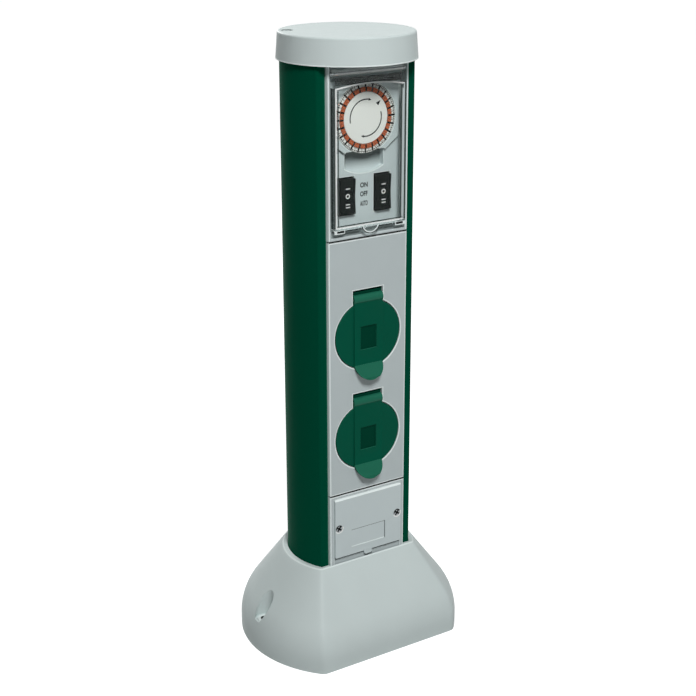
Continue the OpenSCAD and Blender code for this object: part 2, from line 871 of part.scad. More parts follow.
module terminal_frame() {
    low = seat_z + 2;
    high = seam_low - seam_gap/2;
    half_h = (term_high - term_low)/2;
    color(grey) place() difference() {
        union() {
            front(frame_d, frame_back) box2(-panel_half, panel_half, low, high);
            front(frame_back + 0.5, flange_d) {
                box2(web_half, panel_half, low, high);
                box2(-panel_half, -web_half, low, high);
            }
            front(margin_d, flange_d) {
                box2(web_half, flange_half, low, high);
                box2(-flange_half, -web_half, low, high);
            }
            front(frame_back + 0.5, tray_back) box2(-tray_half, tray_half, tray_low, tray_high);
            for (s = [-1, 1]) round_y(3, frame_back + 0.5, frame_back - 6, s*term_screw_x, term_mid);
        }
        front(frame_d + 1, term_back) {
            box2(-term_w/2 - slide_gap, term_w/2 + slide_gap, low - 1, term_high + slide_gap);
        }
        front(frame_d, term_back - 1) translate([0, term_mid]) {
            square([term_w - 10.7, 2*half_h - 10.4], center = true);
        }
        front(frame_d, tray_back + 2) box2(-22, 22, tray_low + 3.8, tray_high - 3.2);
        front(frame_back - 1, tray_back + 2) box2(-23.2, 23.2, tray_low + 1.8, tray_high - 1.8);
        for (x = [-sleeve_x, 0, sleeve_x]) translate([x - wire_r - 0.6, -14, tray_high - 3]) {
            cube([2*wire_r + 1.2, 8, 5]);
        }
        translate([0, -12, tray_low - 1]) cylinder(r = 5, h = 4);
        for (s = [-1, 1]) round_y(1.5, frame_d, frame_back - 5, s*term_screw_x, term_mid);
    }
}

module terminal_cover() {
    color(grey) place() difference() {
        union() {
            front(term_d, term_back) translate([0, term_mid]) plate2(term_w, term_high - term_low, 0.8);
            front(term_d - 0.4, term_back) translate([0, term_low]) plate2(6.6, 6.8, 1.5);
        }
        for (s = [-1, 1]) {
            round_y(1.7, term_d + 1, term_back - 1, s*term_screw_x, term_mid);
            round_y(3, term_d + 1, term_d - 0.9, s*term_screw_x, term_mid);
        }
        front(term_d + 1, term_d - 0.35) box2(-14.8, 14.8, term_mid - 17.8, term_mid - 3.5);
        translate([0, -term_d, term_high]) rotate([45, 0, 0]) cube([term_w + 2, 1.8, 1.8], center = true);
    }
}

module cover_gasket() {
    color(black) place() front(term_back, term_back - 1) translate([0, term_mid]) difference() {
        square([term_w - 10.8, term_high - term_low - 10.5], center = true);
        square([term_w - 13.2, term_high - term_low - 12.9], center = true);
    }
}

module cover_screws() {
    color(steel) place() for (s = [-1, 1]) difference() {
        union() {
            round_y(2.8, term_d, term_d - 0.9, s*term_screw_x, term_mid);
            round_y(1.4, term_d - 0.5, frame_back - 4.5, s*term_screw_x, term_mid);
        }
        front(term_d + 1, term_d - 0.5) translate([s*term_screw_x, term_mid]) rotate(35) cross_slot(1.9);
    }
}

module terminal_block() {
    color(white) place() difference() {
        front(18, tray_back + 2) box2(-16, 16, term_mid - 9, term_mid + 9);
        for (x = [-sleeve_x, 0, sleeve_x], s = [-1, 1]) {
            round_y(2.4, 19, 13, x, term_mid + 5*s);
        }
    }
}

module terminal_screws() {
    color(brass) place() for (x = [-sleeve_x, 0, sleeve_x], s = [-1, 1]) difference() {
        round_y(2.2, 17.2, 13, x, term_mid + 5*s);
        front(18, 16.6) translate([x, term_mid + 5*s]) square([3.6, 0.6], center = true);
    }
}

// Wiring, each run in one upright plane

module phase_wires(s) {
    top = term_mid + 9;
    back = -sleeve_back;
    lo = lid_low_z;
    hi = lid_high_z;
    tab = rocker_z - 9;
    place() {
        wire(s*sleeve_x, [[-12, top], [-12, top + 18], [32, lo - 1.6], [back, lo - 1.6]], wire_r);
        wire(s*sleeve_x, [[back, lo + 1.6], [30, lo + 1.6], [30, hi - 1.6], [back, hi - 1.6]], wire_r);
        wire(s*(rocker_x - 2.4), [[back, hi + 1.6], [32, hi + 1.6], [32, tab], [back, tab]], wire_r);
    }
}

module wires_live() {
    color([0.35, 0.18, 0.08]) phase_wires(-1);
}

module wires_neutral() {
    color([0.10, 0.25, 0.60]) phase_wires(1);
}

module wires_earth() {
    top = term_mid + 9;
    strap = earth_t - socket_back;
    lo = lid_low_z;
    hi = lid_high_z;
    color([0.55, 0.65, 0.10]) place() {
        wire(0, [[-12, top], [-12, top + 18], [24, lo - 14], [strap, lo - 14]], wire_r);
        wire(0, [[strap, lo + 14], [18, lo + 14], [18, hi - 14], [strap, hi - 14]], wire_r);
    }
}

// Parts

base_foot();
post_shell();
top_cap();
cap_screw();
base_screws();
cable_gland();
gland_nut();
timer_frame();
timer_faceplate();
timer_cover();
cover_rod();
timer_case();
timer_motor();
dial_disc();
dial_ring();
trip_segments();
switch_body_left();
switch_body_right();
rocker_left();
rocker_right();
switch_tabs();
socket_panel();
lid_upper();
lid_lower();
lid_seal_upper();
lid_seal_lower();
lid_pin_upper();
lid_pin_lower();
lid_spring_upper();
lid_spring_lower();
socket_upper();
socket_lower();
contacts_upper();
contacts_lower();
earth_clip_upper();
earth_clip_lower();
terminal_frame();
terminal_cover();
cover_gasket();
cover_screws();
terminal_block();
terminal_screws();
wires_live();
wires_neutral();
wires_earth();
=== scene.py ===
# %% [markdown]
# # Dressing a garden socket post
# The CAD model gives every piece its real size and place. This lesson gives the post its looks: soft
# moulded edges, satin plastic, painted metal, a clear cover and the printing on the timer.

import json
import math

import bmesh
import bpy
from mathutils import Matrix, Vector


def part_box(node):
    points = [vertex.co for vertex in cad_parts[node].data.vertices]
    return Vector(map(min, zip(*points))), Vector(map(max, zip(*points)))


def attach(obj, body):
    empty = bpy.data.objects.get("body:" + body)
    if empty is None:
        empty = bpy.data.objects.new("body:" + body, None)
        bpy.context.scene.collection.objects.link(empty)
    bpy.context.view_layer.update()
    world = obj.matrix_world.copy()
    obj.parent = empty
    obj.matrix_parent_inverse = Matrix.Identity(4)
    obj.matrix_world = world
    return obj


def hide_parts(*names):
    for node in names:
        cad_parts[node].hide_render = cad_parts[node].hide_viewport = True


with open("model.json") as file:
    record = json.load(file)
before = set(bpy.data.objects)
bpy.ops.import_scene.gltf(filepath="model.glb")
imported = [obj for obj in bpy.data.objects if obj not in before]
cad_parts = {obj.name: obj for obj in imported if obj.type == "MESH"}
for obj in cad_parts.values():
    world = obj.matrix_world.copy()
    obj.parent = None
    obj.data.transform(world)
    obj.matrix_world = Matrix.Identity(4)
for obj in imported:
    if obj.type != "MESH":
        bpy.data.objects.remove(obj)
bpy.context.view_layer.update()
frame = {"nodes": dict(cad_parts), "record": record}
nodes = frame["nodes"]
scene = bpy.context.scene
MM = 0.001

# %% [markdown]
# The front of the post is easiest to think of in millimetres: x to the right, d out of the post's axis
# towards the front, z up. The cap is round, so its middle gives the axis. CAD boxes give all other places.

# %% Find the post's axis


def middle(node):
    """The middle of a CAD node's box."""
    low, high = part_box(node)
    return (low + high) / 2


axis_y = middle("top_cap").y


def at(x, d, z):
    """A point of the frame from millimetres at the post's axis."""
    return Vector((x * MM, axis_y - d * MM, z * MM))


def depth_of(y):
    """How many millimetres a plane lies in front of the axis."""
    return (axis_y - y) / MM


def front_of(node):
    """How far a CAD node reaches to the front."""
    return depth_of(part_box(node)[0].y)


def right_of(node):
    """How far it reaches to the right."""
    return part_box(node)[1].x / MM


def heights_of(node):
    """Its lower and its upper end."""
    return [corner.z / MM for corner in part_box(node)]


print("axis y", round(axis_y / MM, 2), "cap", heights_of("top_cap"), "front", front_of("socket_panel"))

# %% [markdown]
# The camera stands where the photograph was taken: to the left of the front, above the cap, looking down.
# A long lens keeps the post's sides nearly parallel. The numbers come from matching the edges of lids,
# seams, cap and foot.

# %% Camera
PHOTO_SIDE, FOCAL_PIXELS, SENSOR_WIDTH = 696, 1379.5, 36
CAMERA_AT, TURN, DIP, ROLL = (-504.4, 798.4, 559.8), 32.3, 19.64, -0.13


def place_object(name, data):
    """An object of the scene that shows the data."""
    made = bpy.data.objects.new(name, data)
    scene.collection.objects.link(made)
    return made


lens = bpy.data.cameras.new("camera")
lens.sensor_width = SENSOR_WIDTH
lens.lens = SENSOR_WIDTH * FOCAL_PIXELS / PHOTO_SIDE
scene.camera = place_object("camera", lens)
scene.camera.matrix_world = (
    Matrix.Translation(at(*CAMERA_AT))
    @ Matrix.Rotation(-math.radians(TURN), 4, "Z")
    @ Matrix.Rotation(math.pi / 2 - math.radians(DIP), 4, "X")
    @ Matrix.Rotation(math.radians(ROLL), 4, "Z")
)
print("lens", round(lens.lens, 2), "mm")

# %% [markdown]
# A product photograph is lit by soft boxes. The key stands high between camera and front: the cap throws its
# shadow on the timer below, its band is brightest near the middle, and the left of the foot goes dark. A
# lamp above brightens what faces up. A narrow strip on the right draws thin lights. One lamp behind keeps
# the back from going black.

# %% Lights
AIM_HEIGHT = 230
LAMPS = (
    ("key", (-490, 1400, 1780), 0.5, 0.5, 35),
    ("top", (120, 60, 1000), 0.4, 0.4, 0.7),
    ("right_strip", (1000, 600, 500), 0.2, 1.2, 0.5),
    ("behind", (150, -1500, 900), 0.6, 0.6, 13),
)
for name, place, width, height, power in LAMPS:
    data = bpy.data.lights.new(name, "AREA")
    data.shape = "RECTANGLE"
    data.size, data.size_y, data.energy = width, height, power
    aim = at(0, 0, AIM_HEIGHT) - at(*place)
    turn = aim.normalized().to_track_quat("-Z", "Y").to_matrix().to_4x4()
    place_object(name, data).matrix_world = Matrix.Translation(at(*place)) @ turn
    print("lamp", name, power, "W")

# %% [markdown]
# Shaders are built from small nodes. One helper adds a node and sets its sockets, one joins nodes, and one
# tells some kinds of light rays from the rest, which world, floor and clear cover need.

# %% Helpers for shader nodes
SEEN = ("Camera", "Glossy", "Transmission")


def set_sockets(node, sockets):
    """Puts values on a node's inputs; an underscore in a name stands for a space."""
    for name, value in sockets.items():
        node.inputs[name.replace("_", " ")].default_value = value


def add_node(tree, kind, settings=None, **sockets):
    """Adds a shader node with its settings and its values."""
    made = tree.nodes.new("ShaderNode" + kind)
    for name, value in (settings or {}).items():
        setattr(made, name, value)
    set_sockets(made, sockets)
    return made


def join(tree, *links):
    """Links nodes; each link names a node, its output, the next node and its input."""
    for source, out, target, into in links:
        tree.links.new(source.outputs[out], target.inputs[into])


def any_ray(tree, *kinds):
    """A node and its output that is 1 for the named kinds of rays, and 0 for all others."""
    rays = add_node(tree, "LightPath")
    last = rays, f"Is {kinds[0]} Ray"
    for kind in kinds[1:]:
        either = add_node(tree, "Math", {"operation": "MAXIMUM"})
        join(tree, (*last, either, 0), (rays, f"Is {kind} Ray", either, 1))
        last = either, 0
    return last


print("rays that see the background", SEEN)

# %% [markdown]
# The world lights the object only a little. The camera, and what is seen in glossy or clear surfaces, finds
# it white, as the paper behind a product is.

# %% World
WORLD_LIGHT, WORLD_WHITE = 0.05, 1.0
scene.world = bpy.data.worlds.new("studio")
scene.world.use_nodes = True
sky_tree = scene.world.node_tree
sky = sky_tree.nodes["Background"]
set_sockets(sky, {"Color": (1, 1, 1, 1)})
strength = add_node(sky_tree, "MapRange", To_Min=WORLD_LIGHT, To_Max=WORLD_WHITE)
join(sky_tree, (*any_ray(sky_tree, *SEEN), strength, "Value"), (strength, "Result", sky, "Strength"))
scene.view_settings.view_transform = "Standard"
print("world light", WORLD_LIGHT, "as seen", WORLD_WHITE)

# %% [markdown]
# The floor is a wide white sheet. It takes the soft shadow of the post as a plain diffuse surface, and
# where the camera or a glossy surface sees it, it glows so that it reads as white paper. Near the post the
# lamps do part of that, so the glow is weaker there and leaves the shadow to be seen.

# %% Floor
FLOOR_HALF, FLOOR_GREY = 12.0, (0.5, 0.51, 0.51, 1)
GLOW = {"From_Min": 0.5, "From_Max": 1.6, "To_Min": 0.86, "To_Max": 0.98}


def floor_material():
    """White paper: diffuse to the lamps, with a glow for the rays that see it."""
    material = bpy.data.materials.new("white_floor")
    material.use_nodes = True
    tree = material.node_tree
    tree.nodes.clear()
    output = add_node(tree, "OutputMaterial")
    diffuse = add_node(tree, "BsdfDiffuse", Color=FLOOR_GREY)
    glow = add_node(tree, "Emission")
    both = add_node(tree, "AddShader")
    place = add_node(tree, "TexCoord")
    away = add_node(tree, "VectorMath", {"operation": "LENGTH"})
    near = add_node(tree, "MapRange", **GLOW)
    level = add_node(tree, "Math", {"operation": "MULTIPLY"})
    join(
        tree,
        (place, "Object", away, 0),
        (away, "Value", near, "Value"),
        (near, "Result", level, 0),
        (*any_ray(tree, *SEEN), level, 1),
        (level, 0, glow, "Strength"),
        (diffuse, 0, both, 0),
        (glow, 0, both, 1),
        (both, 0, output, "Surface"),
    )
    return material


def mesh_of(name, bm):
    """A mesh made of a bmesh, which is freed."""
    mesh = bpy.data.meshes.new(name)
    bm.to_mesh(mesh)
    bm.free()
    return mesh


floor_bm = bmesh.new()
bmesh.ops.create_grid(floor_bm, x_segments=1, y_segments=1, size=FLOOR_HALF)
floor = place_object("floor", mesh_of("floor", floor_bm))
floor.data.materials.append(floor_material())
print("floor", 2 * FLOOR_HALF, "m wide")

# %% [markdown]
# Colours are easiest to choose as a screen shows them, from 0 to 255, but a shader counts in linear light.
# A helper undoes the screen's curve, so that a judged colour is written down as it is.

# %% Colours


def linear(byte):
    """One display colour value from 0 to 255 as linear light."""
    share = byte / 255
    return share / 12.92 if share <= 0.04045 else ((share + 0.055) / 1.055) ** 2.4


def display(red, green, blue):
    """A colour as a screen shows it, made ready for a shader."""
    return (linear(red), linear(green), linear(blue), 1.0)


def shade(colour, factor):
    """A lighter or darker shade of a colour."""
    return tuple(min(1.0, c * factor) for c in colour[:3]) + (1.0,)


print("display grey 128 is", round(linear(128), 3), "in linear light")

# %% [markdown]
# Every finish starts from the Principled shader. Moulded plastic isn't one flat colour: the pigment drifts
# a little, and the eroded steel of the mould leaves a fine grain that breaks up the gloss. Noise on Object
# coordinates gives both, at the size that they have on the real piece.

# %% Finish helpers
EVEN = (1.0, 1.0, 1.0)
GRAIN_LOW, GRAIN_HIGH = 0.3, 0.7


def principled(name, **sockets):
    """A new material, its node tree and its Principled shader with some values set."""
    material = bpy.data.materials.new(name)
    material.use_nodes = True
    shader = material.node_tree.nodes["Principled BSDF"]
    set_sockets(shader, sockets)
    return material, material.node_tree, shader


def grain_of(tree, size_mm, detail=2.0, stretch=EVEN):
    """Noise with blotches about size_mm across; a small factor stretches them along an axis."""
    place = add_node(tree, "TexCoord")
    mapping = add_node(tree, "Mapping", Scale=stretch)
    noise = add_node(tree, "TexNoise", Scale=1 / (size_mm * MM), Detail=detail)
    join(tree, (place, "Object", mapping, "Vector"), (mapping, "Vector", noise, "Vector"))
    return noise, "Fac"


def tint(tree, shader, colour, spread, size_mm):
    """Lets the colour drift a little lighter and darker over the piece."""
    dark, light = shade(colour, 1 - spread), shade(colour, 1 + spread)
    mix = add_node(tree, "Mix", {"data_type": "RGBA"}, A=dark, B=light)
    join(tree, (*grain_of(tree, size_mm), mix, "Factor"), (mix, "Result", shader, "Base Color"))


def gloss(tree, shader, low, high, size_mm, stretch=EVEN):
    """Roughness that wanders between two values."""
    wander = add_node(tree, "MapRange", From_Min=GRAIN_LOW, From_Max=GRAIN_HIGH, To_Min=low, To_Max=high)
    grain = grain_of(tree, size_mm, stretch=stretch)
    join(tree, (*grain, wander, "Value"), (wander, "Result", shader, "Roughness"))


def texture(tree, shader, size_mm, depth_mm, stretch=EVEN):
    """Fine relief of the surface."""
    bump = add_node(tree, "Bump", Distance=depth_mm * MM)
    grain = grain_of(tree, size_mm, 3.0, stretch)
    join(tree, (*grain, bump, "Height"), (bump, "Normal", shader, "Normal"))


print("noise from", GRAIN_LOW, "to", GRAIN_HIGH, "spreads the gloss")

# %% [markdown]
# Three kinds of finish cover the post. Satin plastic comes from an eroded mould. Metal is drawn or brushed.
# The post itself is an aluminium extrusion with a green powder coat: powder melts into a skin like orange
# peel, soft waves a few millimetres long, drawn out along the extrusion.

# %% Plastic, metal and powder coat
DRAWN_GLOSS, DRAWN_PEEL = (1.0, 1.0, 0.3), (1.0, 1.0, 0.5)


def moulded(name, colour, low=0.42, high=0.55, relief=0.012, shine=0.3):
    """Satin moulded plastic."""
    material, tree, shader = principled(name, Specular_IOR_Level=shine)
    tint(tree, shader, colour, 0.025, 22)
    gloss(tree, shader, low, high, 6)
    texture(tree, shader, 0.5, relief)
    return material


def metal(name, colour, low, high):
    """Plain metal with a drawn or brushed finish."""
    material, tree, shader = principled(name, Metallic=1.0)
    tint(tree, shader, colour, 0.05, 4)
    gloss(tree, shader, low, high, 0.8)
    texture(tree, shader, 0.4, 0.004)
    return material


def powder_coat(name, colour):
    """Baked powder: hardly any mirror, a soft sheen at grazing angles, a fine peel."""
    sheen = {"Sheen_Weight": 0.25, "Sheen_Roughness": 0.5, "Sheen_Tint": shade(colour, 4)}
    material, tree, shader = principled(name, Specular_IOR_Level=0.004, **sheen)
    tint(tree, shader, colour, 0.04, 35)
    gloss(tree, shader, 0.36, 0.46, 9, DRAWN_GLOSS)
    texture(tree, shader, 1.6, 0.006, DRAWN_PEEL)
    return material


print("the peel is drawn out", 1 / DRAWN_PEEL[2], "times along the post")

# %% [markdown]
# The colours are read from the photograph and then tuned against the render. Each row has a name, a
# colour and, where it isn't plain satin, its lowest and highest roughness, its relief and its shine.

# %% Finishes of the post
# The lighter copies of a plastic here, for pale, panel, lid and green, are painted highlights; the darker
# panel and lid copies are painted shade.
PLASTICS = (
    ("pale_plastic", (202, 213, 212), 0.42, 0.55, 0.012, 0.1),
    ("pale_edge", (222, 232, 231)),
    ("panel_plastic", (186, 196, 197)),
    ("panel_edge", (232, 241, 240)),
    ("panel_shade", (84, 94, 94)),
    ("panel_dusk", (122, 132, 132)),
    ("plate_plastic", (200, 211, 212)),
    ("lid_plastic", (0, 80, 60), 0.32, 0.42, 0.004, 0.04),
    ("lid_edge", (28, 100, 78), 0.32, 0.42, 0.004, 0.1),
    ("lid_shade", (0, 58, 42), 0.5, 0.6, 0.004, 0.02),
    ("white_plastic", (238, 239, 234), 0.32, 0.42, 0.006, 0.1),
    ("orange_plastic", (186, 100, 68), 0.32, 0.42, 0.006, 0.1),
    ("black_plastic", (22, 27, 26), 0.40, 0.50, 0.003, 0.04),
    ("rubber", (24, 25, 25), 0.6, 0.75, 0.02),
    ("black_print", (22, 26, 26), 0.5, 0.6, 0.002, 0.1),
    ("white_print", (236, 238, 236), 0.5, 0.6, 0.002),
    ("brown_wire", (96, 58, 34), 0.35, 0.45, 0.01),
    ("blue_wire", (44, 86, 160), 0.35, 0.45, 0.01),
    ("earth_wire", (150, 170, 44), 0.35, 0.45, 0.01),
)
PAINTS = (("green_paint", (0, 70, 50)), ("green_edge", (26, 94, 72)))
METALS = (("steel", (150, 154, 156), 0.3, 0.45), ("brass", (206, 172, 96), 0.25, 0.38))
finish = {}
for kind, rows in ((moulded, PLASTICS), (powder_coat, PAINTS), (metal, METALS)):
    for name, colour, *more in rows:
        finish[name] = kind(name, display(*colour), *more)
print("finishes", len(finish))

# %% [markdown]
# The cover over the timer is clear plastic, a little over a millimetre thick. A real clear shader would
# throw a black shadow into the recess, so shadow rays pass straight through it, as light does, and so does
# the light that the recess scatters back. Three half-clear plastics carry painted light on the cover: a
# milky one for painted highlights, a duller one for the weaker painted highlights on the right, and a smoky
# one for painted shade.

# %% Clear plastic
CLEAR_TINT, THROUGH_TINT, CLEAR_IOR = (0.985, 0.995, 0.99, 1), (0.97, 0.985, 0.98, 1), 1.12
PAINTED_CLEAR = (("milky", (250, 254, 252), 0.8), ("hazy", (186, 197, 197), 1.0), ("smoky", (58, 69, 67), 0.8))


def clear_plastic():
    """Clear to the eye, and no hindrance to the light."""
    sockets = {"Base_Color": CLEAR_TINT, "Transmission_Weight": 1.0, "IOR": CLEAR_IOR, "Roughness": 0.0}
    material, tree, shader = principled("clear_plastic", **sockets)
    through = add_node(tree, "BsdfTransparent", Color=THROUGH_TINT)
    mix = add_node(tree, "MixShader")
    join(
        tree,
        (*any_ray(tree, "Shadow", "Diffuse"), mix, "Fac"),
        (shader, "BSDF", mix, 1),
        (through, "BSDF", mix, 2),
        (mix, "Shader", tree.nodes["Material Output"], "Surface"),
    )
    return material


finish["clear_plastic"] = clear_plastic()
for look, colour, alpha in PAINTED_CLEAR:
    name = look + "_plastic"
    finish[name] = moulded(name, display(*colour), 0.12, 0.2, 0.002)
    set_sockets(finish[name].node_tree.nodes["Principled BSDF"], {"Alpha": alpha})
    print(name, "alpha", alpha)

# %% [markdown]
# Each CAD node takes the finish of its slot in the record. Nodes whose edges show get a dressed copy later;
# the rest stay as they are, under the finish given here.

# %% Finishes on the CAD nodes
slot_of = {part["node"]: part["material_slot"] for part in frame["record"]["subparts"]}
body_of = {n: body for body, ns in frame["record"]["behaviour"]["bodies"].items() for n in ns}
for node, thing in nodes.items():
    thing.data.materials.clear()
    thing.data.materials.append(finish[slot_of[node]])
print("dressed nodes", len(nodes), "slots", len(set(slot_of.values())))

# %% [markdown]
# A finished piece is a mesh that rides on a body, takes its finish and stands for the node that it replaces.
# One helper does that for every piece, so that no step is forgotten. Weighted normals let the big flat faces
# decide the shading, so that a thin bevel beside them doesn't make them look dented.

# %% Helper that finishes a piece
SHARP_DEGREES = 38


def finish_piece(name, bm, look, body="housing", stands_for=(), edge=None, sharp=SHARP_DEGREES):
    """Turns a bmesh into a smooth-shaded piece with crisp corners, and says what was made."""
    mesh = mesh_of(name, bm)
    mesh.shade_smooth()
    mesh.set_sharp_from_angle(angle=math.radians(sharp))
    mesh.materials.append(finish[look])
    if edge:
        mesh.materials.append(finish[edge])
    made = place_object(name, mesh)
    made.modifiers.new("even_normals", "WEIGHTED_NORMAL").keep_sharp = True
    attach(made, body)
    if stands_for:
        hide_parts(*stands_for)
    print(name, "on", body, "faces", len(mesh.polygons))


# %% [markdown]
# A moulding has no knife edges: the steel of the mould is always eased a little, and that thin round is what
# catches the light along an edge. The CAD solids are sharp there, so a merged copy of a node has the long
# edges near its front bevelled. Tiny edges, as round a pin hole, would hold the bevel back and are left.

# %% Helper for eased edges
CORNER, FLAT_ENOUGH = math.radians(28), math.radians(0.4)
SHORTEST, ROUND_STEPS = 0.9, 3


def eased_copy(node, width, from_depth):
    """A copy of a CAD node whose edges in front of a depth are rounded by a width in millimetres."""
    bm = bmesh.new()
    bm.from_mesh(nodes[node].data)
    bmesh.ops.remove_doubles(bm, verts=bm.verts, dist=2e-6)
    bmesh.ops.dissolve_limit(bm, angle_limit=FLAT_ENOUGH, verts=bm.verts, edges=bm.edges)
    chosen = []
    for edge in bm.edges:
        if len(edge.link_faces) != 2 or edge.calc_face_angle(0) < CORNER:
            continue
        if min(depth_of(v.co.y) for v in edge.verts) < from_depth:
            continue
        if min(e.calc_length() for v in edge.verts for e in v.link_edges) > SHORTEST * MM:
            chosen.append(edge)
    rounds = bmesh.ops.bevel(
        bm,
        geom=chosen,
        offset=width * MM,
        offset_type="OFFSET",
        affect="EDGES",
        segments=ROUND_STEPS,
        profile=0.5,
        clamp_overlap=True,
        material=-1,
    )
    print(node, "eased edges", len(chosen))
    return bm, rounds["faces"]


print("edges sharper than", round(math.degrees(CORNER)), "degrees are eased")

# %% [markdown]
# Beside the round, the border of a front face gets a narrow lip. Inset makes it. A face with
# notches is split into triangles first, because inset goes wrong on it. Rounds, lips and slants that face
# up are the places that catch the key light, so one helper gives them all the lighter finish: a painted
# highlight.

# %% Helpers for lips
TO_FRONT, UP_LOW, UP_HIGH = -0.99, 0.5, 0.95


def add_lip(bm, from_depth, width):
    """A narrow strip along the border of the faces that look to the front."""
    bm.normal_update()
    front = []
    for face in bm.faces:
        if face.normal.y < TO_FRONT and depth_of(face.calc_center_median().y) > from_depth:
            front.append(face)
    flat = bmesh.ops.triangulate(bm, faces=front)["faces"]
    made = bmesh.ops.inset_region(
        bm, faces=flat, thickness=width * MM, use_even_offset=True, use_boundary=True
    )
    return made["faces"]


def ease(node, width, from_depth, edge=None, lip=0.0, own=None):
    """Replaces a node by its eased copy; rounds, lips and slants that face up take the edge's finish, a
    painted highlight.
    """
    bm, light = eased_copy(node, width, from_depth)
    if lip:
        light = light + add_lip(bm, from_depth, lip)
    if edge:
        bm.normal_update()
        for face in bm.faces:
            if UP_LOW < face.normal.z < UP_HIGH and depth_of(face.calc_center_median().y) > from_depth:
                light.append(face)
        for face in light:
            face.material_index = 1
    slot = slot_of[node]
    finish_piece(node + "_eased", bm, own or slot, body_of[node], (node,), edge)


print("a slant faces up where its normal rises by", UP_LOW, "to", UP_HIGH)

# %% [markdown]
# The front is three grey modules one above the other. Their seams and cut-outs show as thin bright lines in
# the photograph, because the eased edges catch the key light: the rounds get a lighter finish, a painted
# highlight. The cap's rim and the two front corners of the post are eased the same way; the post's corners
# get a painted highlight in a lighter green, and the rounds of the clear cover a milky painted highlight.

# %% Front modules, cap and post
FLAT_D, SURROUND_PROUD = 25.0, 1.8
EASE, SKIN, WHOLE = 0.4, 0.2, -100
face_d = front_of("socket_panel")
frame_d = front_of("terminal_frame")
term_d = front_of("terminal_cover")
plate_d = front_of("timer_faceplate") - SURROUND_PROUD
ease("socket_panel", EASE, face_d - SKIN, "panel_edge", 0.5)
ease("timer_frame", EASE, face_d - 3.2)
ease("timer_faceplate", EASE, plate_d - SKIN, "panel_edge", 0.4, "plate_plastic")
ease("terminal_frame", EASE, frame_d - SKIN, "panel_edge", 0.4)
ease("terminal_cover", EASE, term_d - 1.5, "panel_edge", 0.0, "plate_plastic")
ease("timer_cover", 0.45, plate_d, "milky_plastic")
ease("top_cap", 0.35, WHOLE)
ease("post_shell", 1.2, FLAT_D - 1, "green_edge")

# %% [markdown]
# The green lids are glossier than the grey modules. A raised band with the pull tab runs down each one, and
# its edges are soft. What faces up on a lid, most of all the hinge roll, takes more light, so it gets the
# lighter finish too: a painted highlight. The black rockers beside the dial's words are eased like the
# modules.

# %% Lids and rockers
ROLL_R, BAND_BACK, ROLL_UP, LID_UP = 3.7, 3, -0.3, 0.3
LIDS, ROCKERS = ("lid_upper", "lid_lower"), ("rocker_left", "rocker_right")
for node in LIDS:
    bm, rounds = eased_copy(node, EASE, face_d - 0.6)
    bm.normal_update()
    roll_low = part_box(node)[1].z - 2 * ROLL_R * MM
    for face in bm.faces:
        spot = face.calc_center_median()
        up = ROLL_UP if spot.z > roll_low else LID_UP
        if face in rounds or (depth_of(spot.y) > face_d - BAND_BACK and face.normal.z > up):
            face.material_index = 1
    finish_piece(node + "_eased", bm, "lid_plastic", body_of[node], (node,), "lid_edge")
for node in ROCKERS:
    ease(node, EASE, plate_d - 2)

# %% [markdown]
# The foot is one moulding: a round bell whose front is cut off by a flat flare. It is easiest to spin the
# bell's profile round the axis and then push every point that stands too far forward back to the flat. A
# soft push, a hyperbola and not a hard stop, leaves the rounded crease that the photograph shows.

# %% Profile of the foot
POST_R, BASE_H, EDGE_H, BULGE_R = 46.0, 66.5, 9.0, 40.0
RIM_H, RIM_W, BELL_STEPS, SAME = 1.5, 1.8, 192, 1e-6
SIDE_FLARE, SIDE_LIP, FRONT_FLARE, FRONT_LIP = 36.8, 5.0, 34.6, 4.2


def spin(bm, geom, centre, axis, angle, steps, **more):
    """Sweeps points and edges round an axis, and gives their last row."""
    done = bmesh.ops.spin(bm, geom=geom, cent=centre, axis=axis, angle=angle, steps=steps, **more)
    return done["geom_last"]


def reach(z, start, flare, lip):
    """How far a flaring side stands from the axis at a height: edge, bulge, straight side, rim."""
    run = lip - flare + BULGE_R
    rise = BASE_H - RIM_H - EDGE_H
    slope = math.atan2(rise, run) - math.acos(BULGE_R / math.hypot(run, rise))
    knee_z = EDGE_H + BULGE_R * math.sin(slope)
    knee = start + flare - BULGE_R + BULGE_R * math.cos(slope)
    if z <= EDGE_H:
        return start + flare
    if z <= knee_z:
        return start + flare - BULGE_R + math.sqrt(BULGE_R**2 - (z - EDGE_H) ** 2)
    if z <= BASE_H - RIM_H:
        share = (z - knee_z) / (BASE_H - RIM_H - knee_z)
        return knee + share * (start + lip - knee)
    return start + lip - RIM_W * (z - BASE_H + RIM_H) / RIM_H


def bell(heights, inset, crease):
    """A closed bell spun from the side profile, with its front pushed back to the front profile."""
    bm = bmesh.new()
    points = [(0, 0, heights[0] * MM)]
    points += [(reach(z, POST_R - inset, SIDE_FLARE, SIDE_LIP) * MM, 0, z * MM) for z in heights]
    verts = [bm.verts.new(p) for p in points + [(0, 0, heights[-1] * MM)]]
    edges = [bm.edges.new(ends) for ends in zip(verts, verts[1:])]
    spin(bm, verts + edges, (0, 0, 0), (0, 0, 1), math.tau, BELL_STEPS, use_merge=True)
    bmesh.ops.remove_doubles(bm, verts=bm.verts, dist=SAME)
    for v in bm.verts:
        front = reach(v.co.z / MM, FLAT_D - inset, FRONT_FLARE, FRONT_LIP) * MM
        over = v.co.y + front
        v.co.y = -front + (over + math.hypot(over, crease * MM)) / 2
    bmesh.ops.translate(bm, verts=bm.verts, vec=(0, axis_y, 0))
    bmesh.ops.recalc_face_normals(bm, faces=bm.faces)
    return bm


print("foot reaches", reach(0, POST_R, SIDE_FLARE, SIDE_LIP), "mm to the side")

# %% [markdown]
# The hollow, the seat of the post, the screw pockets and the holes are cut with Boolean modifiers, which
# give clean edges where round shapes meet. They are applied by reading the evaluated mesh, and the cutters
# are thrown away.

# %% Helpers for cutting


def loose(name, bm):
    """An object made of a bmesh, for cutting only."""
    return place_object(name, mesh_of(name, bm))


